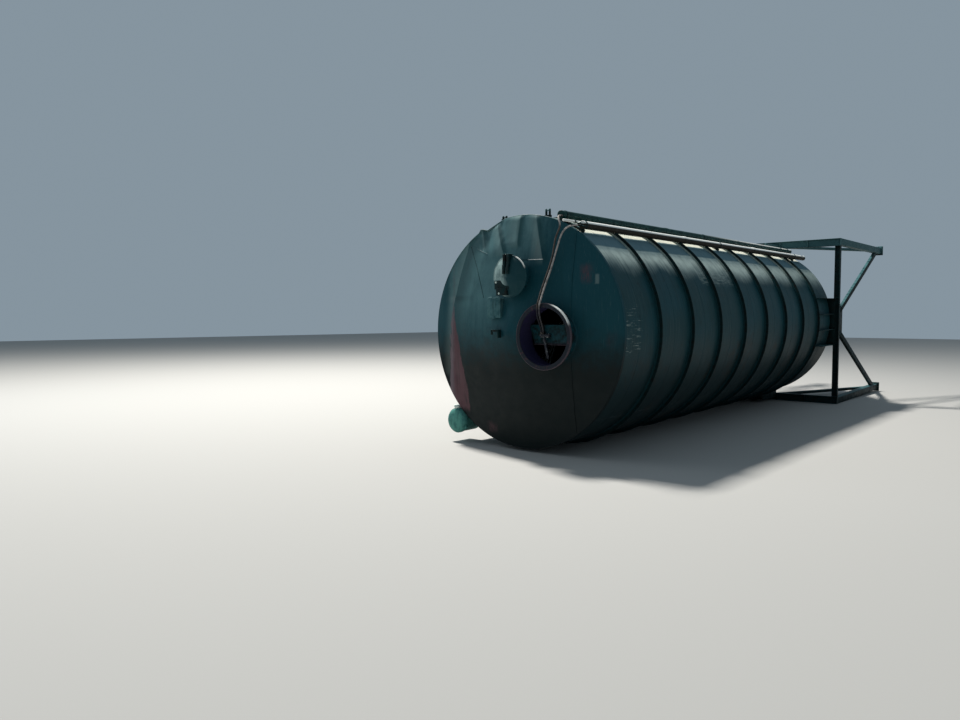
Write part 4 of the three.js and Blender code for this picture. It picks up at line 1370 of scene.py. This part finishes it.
class SILO_OT_valve(bpy.types.Operator):
    """Makes the pressure relief valve: a flanged drum, and a domed lid with guide bars and a clamp"""
    bl_idname = "silo.valve"
    bl_label = "Relief valve"

    steps = 72
    wall = 0.006
    crown = VALVE_FRONT - LID_RISE
    dome_rings = 9
    bulge = 0.72
    guide_half = 0.020
    guide_places = (VALVE_X - 0.048, VALVE_X + 0.020)

    def execute(self, context):
        centre = (VALVE_X, 0, VALVE_Z)
        back = VALVE_FRONT + VALVE_RIM
        bore = VALVE_NECK - self.wall
        drum = turned([
            (bore, VALVE_FRONT + 0.002), (VALVE_RADIUS - 0.004, VALVE_FRONT + 0.002),
            (VALVE_RADIUS, VALVE_FRONT + 0.006), (VALVE_RADIUS, back - 0.003),
            (VALVE_RADIUS - 0.003, back), (VALVE_NECK, back), (VALVE_NECK, -0.27), (VALVE_NECK, FOOT_Y),
            (bore, FOOT_Y), (bore, -0.27),
        ], self.steps, centre)
        stand_on_roof(drum, context.scene.silo_sizes, -0.12)
        piece("valve_drum", drum, "roof", ("relief_valve_drum",))

        flat = math.sqrt(1 - self.bulge ** 2)
        dome = []
        for i in range(self.dome_rings + 1):
            share = i / self.dome_rings
            fall = (1 - math.sqrt(1 - (self.bulge * share) ** 2)) / (1 - flat)
            dome.append((LID_RADIUS * share, self.crown + LID_RISE * 0.86 * fall))
        lid = turned([*dome, (LID_RADIUS + 0.002, VALVE_FRONT - 0.004),
                      (LID_RADIUS - 0.002, VALVE_FRONT - GAP), (0.0, VALVE_FRONT - GAP)],
                     self.steps, centre)
        rim = ring(LID_RADIUS + 0.004, LID_RADIUS - 0.012, VALVE_FRONT - 0.016, VALVE_FRONT - 0.002,
                   0.004, self.steps, centre)
        piece("valve_lid", joined(lid, rim), "valve", ("relief_valve_lid",))
        self.guides()
        return {"FINISHED"}

    def guides(self):
        """Two flat guide bars over the lid's upper half, the clamp below them, and their bolts."""
        top, crown = VALVE_Z + LID_RADIUS + 0.016, self.crown
        parts = []
        for x in self.guide_places:
            left, right = x - self.guide_half, x + self.guide_half
            parts.append(block((left, crown - 0.016, VALVE_Z + 0.030),
                               (right, crown + 0.020, VALVE_Z + 0.150), 0.003))
            parts.append(block((left, crown - 0.006, VALVE_Z + 0.120),
                               (right, VALVE_FRONT + 0.010, top), 0.003))
        parts.append(block((VALVE_X - 0.225, crown + 0.012, VALVE_Z - 0.170),
                           (VALVE_X + 0.020, VALVE_FRONT - 0.010, VALVE_Z - 0.050), 0.004))
        parts.append(block((VALVE_X - 0.190, crown + 0.004, VALVE_Z - 0.250),
                           (VALVE_X - 0.010, VALVE_FRONT - 0.010, VALVE_Z - 0.150), 0.004))
        guide_heads = [(x, crown - 0.016, VALVE_Z + 0.062) for x in self.guide_places]
        clamp_heads = [(VALVE_X - 0.195, crown + 0.012, VALVE_Z - 0.076),
                       (VALVE_X - 0.140, crown + 0.004, VALVE_Z - 0.225)]
        dark, nuts = [front_bolts(0.020, 0.006, 0.028, heads) for heads in (guide_heads, clamp_heads)]
        piece("valve_guides", joined(*parts, dark), "frame")
        low, high = [(self.guide_places[0], VALVE_FRONT - 0.020, top + z) for z in (-0.004, 0.004)]
        piece("valve_bolts", joined(nuts, rod(low, high, 0.015, 16, 0.003)), "zinc")


class SILO_OT_hatch(bpy.types.Operator):
    """Makes the hatch box on the roof: body, overlapping cover, hinges and hasp"""
    bl_idname = "silo.hatch"
    bl_label = "Hatch box"

    overlap = 0.008
    cover_thick = 0.022
    panel_in = 0.030
    hinge_half = 0.030
    hinge_in = 0.055

    def execute(self, context):
        half, centre = size("roof_hatch_box") / 2, seat("roof_hatch_box")
        left, right = centre.x - half.x, centre.x + half.x
        bottom, top = centre.z - HATCH_HEIGHT / 2, centre.z + HATCH_HEIGHT / 2
        body = block((left + self.overlap, HATCH_FRONT + 0.012, bottom + self.overlap),
                     (right - self.overlap, FOOT_Y, top - self.overlap), 0.003)
        stand_on_roof(body, context.scene.silo_sizes, -0.15)
        cover = block((left, HATCH_FRONT, bottom), (right, HATCH_FRONT + self.cover_thick, top), 0.004, 3)
        raised = block((left + self.panel_in, HATCH_FRONT - 0.003, bottom + self.panel_in),
                       (right - self.panel_in, HATCH_FRONT + 0.004, top - self.panel_in), 0.003)
        hinges = []
        for x in (left + self.hinge_in, right - self.hinge_in):
            start, end = [(x + off, HATCH_FRONT + 0.008, top + 0.004)
                          for off in (-self.hinge_half, self.hinge_half)]
            hinges.append(rod(start, end, 0.008, 14, 0.001))
        hasp = block((centre.x - 0.018, HATCH_FRONT - 0.006, bottom - 0.012),
                     (centre.x + 0.018, HATCH_FRONT + 0.002, bottom + 0.030), 0.002)
        piece("hatch_box", joined(body, cover, raised, *hinges, hasp), "box", ("roof_hatch_box",))
        return {"FINISHED"}


class SILO_OT_lugs(bpy.types.Operator):
    """Makes the hook on the roof, and the two lifting lugs with their pins by the rim"""
    bl_idname = "silo.lugs"
    bl_label = "Hook and lugs"

    lug_start = 0.055
    lug_end = 0.093
    cheek_off = 0.028
    cheek_half = 0.006
    pin_half = 0.042

    def execute(self, context):
        front, back, top = -0.380, -0.360, 0.050
        post = block((-0.128, front, -0.060), (-0.104, FOOT_Y, top), 0.003)
        stand_on_roof(post, context.scene.silo_sizes, -0.2)
        arm = block((-0.240, front, 0.020), (-0.110, back, top), 0.004)
        tip = block((-0.240, front, -0.020), (-0.214, back, top), 0.004)
        piece("hook", joined(post, arm, tip), "frame", ("roof_hook",))
        for side, x, rise in (("right", 0.400, 0.112), ("left", -0.340, 0.070)):
            self.lug(side, x, rise)
        return {"FINISHED"}

    def lug(self, side, x, rise):
        """Two cheeks with cut corners on a foot, and the pin through them."""
        skin = math.sqrt(SHELL_RADIUS ** 2 - x ** 2)
        top = skin + rise
        start, end = self.lug_start, self.lug_end
        outline = [(start, skin - 0.020), (start, top - 0.014), (start + 0.006, top - 0.004),
                   (start + 0.015, top), (end - 0.015, top), (end - 0.006, top - 0.004),
                   (end, top - 0.014), (end, skin - 0.020)]
        parts = [block((x - 0.045, 0.050, skin - 0.030), (x + 0.045, 0.098, skin + 0.028), 0.003)]
        for off in (-self.cheek_off, self.cheek_off):
            cheek = plate(outline, x + off - self.cheek_half, x + off + self.cheek_half, 0.001)
            parts.append(moved(cheek, SWAP_X_AND_Y))
        middle_of, pin_at = (start + end) / 2, top - 0.022
        parts.append(rod((x - self.pin_half, middle_of, pin_at), (x + self.pin_half, middle_of, pin_at),
                         0.008, 14, 0.001))
        piece(f"lug_{side}", joined(*parts), "frame", (f"lifting_lug_{side}",))


# Pipes
class SILO_OT_pipes(bpy.types.Operator):
    """Makes the pipes and the conduit on the shell, with their caps, sleeves, straps and saddles"""
    bl_idname = "silo.pipes"
    bl_label = "Pipes on the shell"

    pipe_end = 9.050
    pipe_length = 2.97
    conduit_start = -0.235
    conduit_end = 9.120
    conduit_length = 3.0
    fill_start = 0.335
    fill_end = 9.500
    wall = 0.004
    open_depth = 0.200

    def execute(self, context):
        for name, start in zip(PIPES_IN_NOTCHES, (0.020, 0.080)):
            self.pipe(name, start)
        self.conduit()
        self.saddles()
        self.bracket()
        self.fill_pipe()
        return {"FINISHED"}

    def open_tube(self, radius, start, end, centre, edge=0.0):
        """A pipe capped at its near end, its rim cut by edge there, and open at its far one."""
        near = [(radius - edge, start), (radius, start + edge)] if edge else [(radius, start)]
        bore = radius - self.wall
        return turned([
            (0.0, start), *near, (radius, end), (bore, end), (bore, end - self.open_depth),
            (0.0, end - self.open_depth),
        ], 40, centre)

    def pipe(self, name, start):
        """One of the pipes in the hoops' notches, with sleeves where its lengths join."""
        centre = axis_of(name)
        tube = self.open_tube(PIPE_RADIUS, start, self.pipe_end, centre, 0.003)
        joints = [start + self.pipe_length, start + 2 * self.pipe_length]
        sleeves = collars(PIPE_RADIUS, 0.005, 0.045, joints, centre, 0.003)
        piece(f"{name}_tube", joined(tube, *sleeves), "crusted", (name,))

    def conduit(self):
        centre = axis_of("conduit")
        start, end, radius = self.conduit_start, self.conduit_end, CONDUIT_RADIUS
        tube = turned([
            (0.0, start), (radius - 0.004, start), (radius, start + 0.004), (radius, end - 0.002),
            (radius - 0.002, end), (0.0, end),
        ], 24, centre)
        joints = [start + i * self.conduit_length for i in (1, 2, 3)]
        sockets = collars(radius, 0.003, 0.020, joints, centre, steps=24)
        piece("conduit_tube", joined(tube, *sockets), "conduit", ("conduit",))
        piece("conduit_clips", joined(*collars(radius, 0.004, 0.012, HOOPS, centre, steps=20)), "frame")

    def saddles(self):
        """A folded channel under the pipes, with a strap over each pipe."""
        for name in ("pipe_saddle_1", "pipe_saddle_2", "pipe_saddle_3"):
            place = seat(name)
            top = max(0.0, radius_of(place) * 2 - SHELL_RADIUS)
            channel = block((-0.210, -0.020, SHELL_RADIUS - 0.015), (0.210, 0.020, top), 0.003)
            turn = turn_to(math.degrees(angle_of(place)))
            parts = [moved(channel, Matrix.Translation((0, place.y, 0)) @ turn)]
            for pipe in PIPES_IN_NOTCHES:
                parts += collars(PIPE_RADIUS, 0.005, 0.015, [place.y], axis_of(pipe))
            piece(name.removeprefix("pipe_"), joined(*parts), "frame", (name,))

    def bracket(self):
        """The flat bracket at the rim that ties the conduit to the side pipe, with an eye for the hose."""
        high, low = axis_of("conduit"), axis_of("side_pipe")
        front, back, half, eye = 0.020, 0.038, 0.007, 0.027
        lean = Vector(low) - Vector(high)
        to_eye, foot = lean.length, lean.length + PIPE_RADIUS
        bars = [block((-half, front, -0.034), (half, back, to_eye - eye + 0.002), 0.002),
                block((-half, front, to_eye + eye - 0.002), (half, back, foot + 0.006), 0.002),
                block((-half, front, foot), (half, 0.150, foot + 0.006), 0.001)]
        turn = turn_to(math.degrees(angle_of(lean)))
        hung = moved(joined(*bars), Matrix.Translation(high) @ turn)
        round_eye = ring(eye, HOSE_RADIUS + 0.002, front, back, 0.002, 32, low)
        middle_of, reach = (front + back) / 2, (back - front) / 2 + 0.004
        clip = collars(CONDUIT_RADIUS, 0.005, reach, [middle_of], high, 0.002, 24)
        piece("conduit_bracket", joined(hung, round_eye, *clip), "frame")

    def fill_pipe(self):
        """The fill pipe on the left flank, its sleeves, and its straps on the hoops."""
        centre = axis_of("fill_pipe")
        tube = self.open_tube(FILL_RADIUS, self.fill_start, self.fill_end, centre)
        joints = (self.fill_start + 0.030, 3.20, 6.17, self.fill_end - 0.030)
        sleeves = collars(FILL_RADIUS, 0.012, 0.022, joints, centre, 0.004)
        straps = collars(FILL_RADIUS, 0.004, 0.016, HOOPS, centre)
        piece("fill_pipe_tube", joined(tube, *sleeves, *straps), "pipe", ("fill_pipe",))


class SILO_OT_pot(bpy.types.Operator):
    """Makes the impact pot: banded drum with a domed front, branch cap with cam levers, and stub"""
    bl_idname = "silo.pot"
    bl_label = "Impact pot"

    front = -0.075
    back = 0.335
    dome_rise = 0.045
    branch_y = 0.025
    stub_y = 0.170
    steps = 64

    def execute(self, context):
        pot, centre = seat("impact_pot"), axis_of("impact_pot")
        front, back = self.front, self.back
        dome = [(POT_RADIUS * math.sin(turn), front + self.dome_rise * (1 - math.cos(turn)))
                for turn in (math.radians(90) * i / 7 for i in range(8))]
        drum = turned([*dome, (POT_RADIUS, front + 0.060), (POT_RADIUS, back - 0.006),
                       (POT_RADIUS - 0.006, back), (0.0, back)], self.steps, centre)
        bands = [ring(POT_RADIUS + 0.010, POT_RADIUS - 0.004, y - 0.010, y + 0.010, 0.003,
                      self.steps, centre) for y in (front + 0.062, front + 0.086)]
        ear = block((-0.018, front + 0.050, POT_RADIUS + 0.002),
                    (0.018, front + 0.098, POT_RADIUS + 0.034), 0.003)
        ear = moved(ear, Matrix.Translation(centre) @ turn_to(120))
        piece("pot_drum", joined(drum, *bands, ear), "mint", ("impact_pot",))
        self.cap(pot)
        self.stub(pot)
        return {"FINISHED"}

    def cap(self, pot):
        """The upright branch on the pot, closed by a cap with two cam levers."""
        x, y, top = pot.x - 0.025, self.branch_y, pot.z + POT_RADIUS + 0.050
        neck = rod((x, y, top - 0.130), (x, y, top - 0.028), 0.050, 32)
        cap = rod((x, y, top - 0.032), (x, y, top), 0.057, 40, 0.004)
        levers = [block((at - 0.006, y - 0.014, top - 0.110), (at + 0.006, y + 0.014, top - 0.012), 0.003)
                  for at in (x - 0.050, x + 0.050)]
        piece("branch_cap", joined(neck, cap, *levers), "zinc", ("pot_clamp",))

    def stub(self, pot):
        """The short pipe from the pot through the shell, with its flange."""
        y, foot = self.stub_y, radius_of(pot) - POT_RADIUS
        tube = rod((0, y, SHELL_RADIUS - 0.010), (0, y, foot + 0.020), 0.055, 32)
        pad = rod((0, y, SHELL_RADIUS - 0.006), (0, y, SHELL_RADIUS + 0.008), 0.085, 32, 0.002)
        turn = turn_to(math.degrees(angle_of(pot)))
        piece("stub_pipe", moved(joined(tube, pad), turn), "pipe", ("pot_stub",))


# Hopper and leg frame
class SILO_OT_hopper(bpy.types.Operator):
    """Makes the hopper cone with its weld seams, and the bolted outlet flange"""
    bl_idname = "silo.hopper"
    bl_label = "Hopper"

    start = SHELL_LENGTH + GAP
    wall = 0.007
    rows = 8
    steps = 96
    bolt_count = 12
    bolt_circle = 0.188

    def execute(self, context):
        outer = [self.slant(i / self.rows) for i in range(self.rows + 1)]
        inner = [(radius - self.wall, along) for radius, along in reversed(outer)]
        piece("hopper_plates", turned(outer + inner, self.steps), "shell", ("hopper_cone",))
        self.seams(context.scene.silo_sizes.weld_size)
        self.outlet()
        return {"FINISHED"}

    def slant(self, share):
        """The cone's radius and the place along the axis at a share of its length."""
        radius = SHELL_RADIUS + (OUTLET_RADIUS - SHELL_RADIUS) * share
        return radius, self.start + (HOPPER_END - self.start) * share

    def seams(self, bead_size):
        """A seam along each joint of two plates, and two round ones."""
        parts = []
        for degrees in (30, 120, 210, 300):
            ends = [around(radius, degrees, along) for radius, along in (self.slant(0.01), self.slant(0.99))]
            parts.append(bead(ends, bead_size, 0.2, seed=degrees))
        for share in (0.36, 0.72):
            radius, along = self.slant(share)
            parts.append(turned([(radius - 0.006, along - 0.010), (radius + 0.006, along - 0.006),
                                 (radius + 0.003, along + 0.008), (radius - 0.008, along + 0.012)],
                                self.steps))
        piece("hopper_weld_seams", joined(*parts), "shell")

    def outlet(self):
        flange = ring(FLANGE_RADIUS, OUTLET_RADIUS - 0.006, HOPPER_END + GAP, HOPPER_END + 0.016, 0.001, 64)
        heads = front_bolts(0.024, 0.013, 0.036, [
            around(self.bolt_circle, 360 * i / self.bolt_count + 15, HOPPER_END)
            for i in range(self.bolt_count)])
        piece("outlet_ring", joined(flange, heads), "frame", ("outlet_flange",))


SIDE_TURNS = {"right": 0, "top": -90, "left": 180, "bottom": 90}
CORNERS = {"top_right": (1, 1), "top_left": (-1, 1), "bottom_right": (1, -1), "bottom_left": (-1, -1)}
RING_END = RING_START + BEAM_DEPTH
LEG_MIDDLE = FRAME_HALF - LEG_SIZE / 2


class SILO_OT_frame(bpy.types.Operator):
    """Makes the leg frame: ring of I-beams, legs with foot plates, braces with gussets, consoles"""
    bl_idname = "silo.leg_frame"
    bl_label = "Leg frame"

    flange = 0.008
    web = 0.006
    beam_height = 0.160
    upright_height = 0.110
    ribs = (0.52, 1.10)
    foot_half = 0.110
    foot_bolt = 0.085
    brace_half = 0.055
    brace_depth = 0.060
    gusset_half = 0.34
    gusset_long = 0.420
    console_ribs = (-0.495, -0.165, 0.165, 0.495)
    console_half = 0.500
    rib_half = 0.005

    def execute(self, context):
        for side, degrees in SIDE_TURNS.items():
            turn = turn_to(degrees)
            if side in ("right", "left"):
                self.ring_beam(side, turn, self.upright_height, FRAME_HALF - self.beam_height - GAP)
            else:
                self.ring_beam(side, turn, self.beam_height, FRAME_HALF)
            self.braces(side, turn)
            self.console(side, turn)
        for corner, (sx, sz) in CORNERS.items():
            self.leg(corner, sx, sz)
        return {"FINISHED"}

    def ring_beam(self, side, turn, height, half):
        """An I-beam along one side, with ribs between its flanges on both sides of the web."""
        parts = [section(beam_outline(height, BEAM_DEPTH, self.flange, self.web), -half, half, 0.0015)]
        inner = height / 2 - self.flange + 0.001
        ends = half - 0.004
        for z in (-ends, *(-rib for rib in reversed(self.ribs)), *self.ribs, ends):
            for y in (-1, 1):
                parts.append(block((-inner, y * (BEAM_DEPTH / 2 - 0.003), z - 0.004),
                                   (inner, y * self.web / 2, z + 0.004)))
        place = turn @ Matrix.Translation((FRAME_HALF - height / 2, RING_START + BEAM_DEPTH / 2, 0))
        piece(f"beam_{side}", moved(joined(*parts), place), "frame", (f"ring_beam_{side}",))

    def leg(self, corner, sx, sz):
        """A hollow leg on its foot plate, with a gusset on each side and four bolts."""
        half, foot = LEG_SIZE / 2, self.foot_half
        tube = block((-half, RING_END + GAP, -half), (half, LEG_END + 0.005, half), 0.010, 3)
        base = block((-foot, LEG_END, -foot), (foot, LEG_END + FOOT_PLATE, foot), 0.002)
        outline = [(half - 0.002, LEG_END + 0.002), (half - 0.002, LEG_END - 0.120),
                   (half + 0.004, LEG_END - 0.120), (foot - 0.004, LEG_END - 0.012),
                   (foot - 0.004, LEG_END + 0.002)]
        gussets = [moved(section(outline, -0.005, 0.005), turn_to(90 * k)) for k in range(4)]
        heads = front_bolts(0.030, 0.016, 0.042, [
            (x * self.foot_bolt, LEG_END + 0.0005, z * self.foot_bolt) for x in (-1, 1) for z in (-1, 1)])
        place = Matrix.Translation((sx * LEG_MIDDLE, 0, sz * LEG_MIDDLE))
        piece(f"leg_{corner}_tube", moved(joined(tube, base, *gussets, heads), place), "frame",
              (f"leg_{corner}",))

    def braces(self, side, turn):
        """Two hollow braces that spread from a gusset plate at mid side to the legs."""
        start = Vector((LEG_MIDDLE, RING_END + 0.120, 0.195))
        end = Vector((LEG_MIDDLE, LEG_END - 0.160, LEG_MIDDLE))
        run = end - start
        parts, places = [], []
        for mirror in (-1, 1):
            parts.append(self.brace(start, end, mirror))
            for step in (0.08, 0.20):
                at = start + run.normalized() * step
                places.append(Matrix.Translation((LEG_MIDDLE + self.brace_depth / 2, at.y, mirror * at.z))
                              @ turn_to(90))
        wide, narrow, near, far = self.gusset_half, self.gusset_half - 0.10, RING_END, self.gusset_long
        outline = [(-0.30, near + GAP), (0.30, near + GAP), (wide, near + 0.060),
                   (wide, near + far - 0.060), (narrow, near + far), (-narrow, near + far),
                   (-wide, near + far - 0.060), (-wide, near + 0.060)]
        gusset = section(outline, -0.010, 0.010, 0.0015)
        parts.append(moved(gusset, Matrix.Translation((LEG_MIDDLE, 0, 0)) @ turn_to(90)))
        parts.append(stamped(bolt(0.030, 0.014, 0.040), places))
        piece(f"braces_{side}", moved(joined(*parts), turn), "frame", (f"brace_pair_{side}",))

    def brace(self, start, end, mirror):
        """One brace from start to end, or mirrored, cut flat at the leg's face and closed there."""
        run, mid = end - start, (start + end) / 2
        arm = block((-self.brace_depth / 2, -run.length / 2, -self.brace_half),
                    (self.brace_depth / 2, run.length / 2, self.brace_half), 0.006)
        moved(arm, Matrix.Translation((mid.x, mid.y, mirror * mid.z))
              @ Matrix.Rotation(mirror * math.atan2(run.z, run.y), 4, "X"))
        cut = bmesh.ops.bisect_plane(
            arm, geom=arm.verts[:] + arm.edges[:] + arm.faces[:], dist=WELD_DISTANCE,
            plane_co=(0, 0, mirror * (FRAME_HALF - LEG_SIZE - GAP)), plane_no=(0, 0, mirror),
            clear_outer=True)["geom_cut"]
        bmesh.ops.contextual_create(arm, geom=[g for g in cut if isinstance(g, bmesh.types.BMEdge)])
        return arm

    def console(self, side, turn):
        """Four ribs on the shell, snipped at their start, tied by an end plate under the ring beam."""
        end = RING_START - GAP
        parts = []
        for z in self.console_ribs:
            skin = math.sqrt(SHELL_RADIUS ** 2 - (abs(z) + self.rib_half) ** 2) - 0.004
            outline = [(skin, CONSOLE_START), (min(skin + 0.030, CONSOLE_OUT), CONSOLE_START),
                       (CONSOLE_OUT, CONSOLE_START + 0.090), (CONSOLE_OUT, end), (skin, end)]
            parts.append(section(outline, z - self.rib_half, z + self.rib_half, 0.001))
        reach = math.degrees(math.asin(self.console_half / SHELL_RADIUS))
        skin_arc = arc(SHELL_RADIUS + GAP, 90 - reach, 90 + reach, 16)
        outer = [(CONSOLE_OUT - 0.006, z) for z in (skin_arc[-1][1], skin_arc[0][1])]
        parts.append(plate([*skin_arc, *outer], end - 0.014, end, 0.001))
        piece(f"console_{side}_ribs", moved(joined(*parts), turn), "frame", (f"console_{side}",))


# Hose fittings
class SILO_OT_coupling(bpy.types.Operator):
    """Makes the coupling where both hoses end, its drop pipe, and the glands at the pipe ends"""
    bl_idname = "silo.coupling"
    bl_label = "Hose fittings"

    low = -0.052
    high = -0.012
    drop_lean = math.radians(-13)
    drop_half = 0.145
    drop_middle = Vector((0.545, -0.181, -0.190))

    def execute(self, context):
        self.coupling()
        self.drop_pipe()
        for name, points in HOSE_ROUTES.items():
            start, after, before, end = [Vector(points[i]) for i in (0, 1, -2, -1)]
            out, up = (after - start).normalized(), (before - end).normalized()
            gland = rod(start, start + out * 0.014, 0.016, 6, 0.001)
            relief = rod(start + out * 0.012, start + out * 0.042, 0.0155, 20, 0.001, radius_end=0.0118)
            ferrule = rod(end, end + up * 0.034, 0.0140, 20, 0.001, radius_end=0.0118)
            piece(f"{name}_ferrules", joined(gland, relief, ferrule), "rubber")
        return {"FINISHED"}

    def coupling(self):
        """The coupling's bar on the cross plate, with a pad at each end and two plugs."""
        front, back = PLATE_Y - 0.052, PLATE_Y - GAP
        bar = block((0.438, front + 0.004, self.low + 0.002), (0.594, back, self.high), 0.004)
        pads = [block((x - 0.016, front, self.low), (x + 0.016, back - 0.006, self.high), 0.003)
                for x in (0.469, 0.570)]
        plugs = [rod((x, -0.156, self.high - 0.002), (x, -0.156, self.high + 0.012), 0.012, 6, 0.001)
                 for x in (0.530, 0.572)]
        piece("hose_coupling_block", joined(bar, *pads, *plugs), "coupling", ("hose_coupling",))

    def drop_pipe(self):
        """The short pipe that hangs from the coupling, and its nut."""
        half = Vector((math.sin(self.drop_lean), 0, math.cos(self.drop_lean))) * self.drop_half
        pipe = rod(self.drop_middle - half, self.drop_middle + half, 0.019, 24, 0.002)
        nut_low = self.drop_middle + half * 0.62
        nut = rod(nut_low, nut_low + half.normalized() * 0.030, 0.0235, 6, 0.002)
        piece("drop_pipe", joined(pipe, nut), "coupling")


OPERATORS = [
    SILO_OT_hoses, SILO_OT_stage, SILO_OT_shell, SILO_OT_hoops, SILO_OT_roof, SILO_OT_neck,
    SILO_OT_valve, SILO_OT_hatch, SILO_OT_lugs, SILO_OT_pipes, SILO_OT_pot, SILO_OT_hopper,
    SILO_OT_frame, SILO_OT_coupling,
]


class SILO_PT_panel(bpy.types.Panel):
    """Lists the steps that dress the silo"""
    bl_label = "Cement silo"
    bl_idname = "SILO_PT_panel"
    bl_space_type = "VIEW_3D"
    bl_region_type = "UI"
    bl_category = "Silo"

    def draw(self, context):
        for group in (context.scene.silo_sizes, context.scene.silo_finish):
            for name in group.bl_rna.properties.keys():
                if name not in ("rna_type", "name"):
                    self.layout.prop(group, name)
        for step in OPERATORS:
            self.layout.operator(step.bl_idname)


CLASSES = [SiloSizes, SiloFinish, *OPERATORS, SILO_PT_panel]


def register():
    for each in CLASSES:
        bpy.utils.register_class(each)
    bpy.types.Scene.silo_sizes = PointerProperty(type=SiloSizes)
    bpy.types.Scene.silo_finish = PointerProperty(type=SiloFinish)


def unregister():
    del bpy.types.Scene.silo_finish
    del bpy.types.Scene.silo_sizes
    for each in reversed(CLASSES):
        bpy.utils.unregister_class(each)


def main():
    register()
    for step in OPERATORS:
        group, name = step.bl_idname.split(".")
        getattr(getattr(bpy.ops, group), name)()


if __name__ == "__main__":
    main()
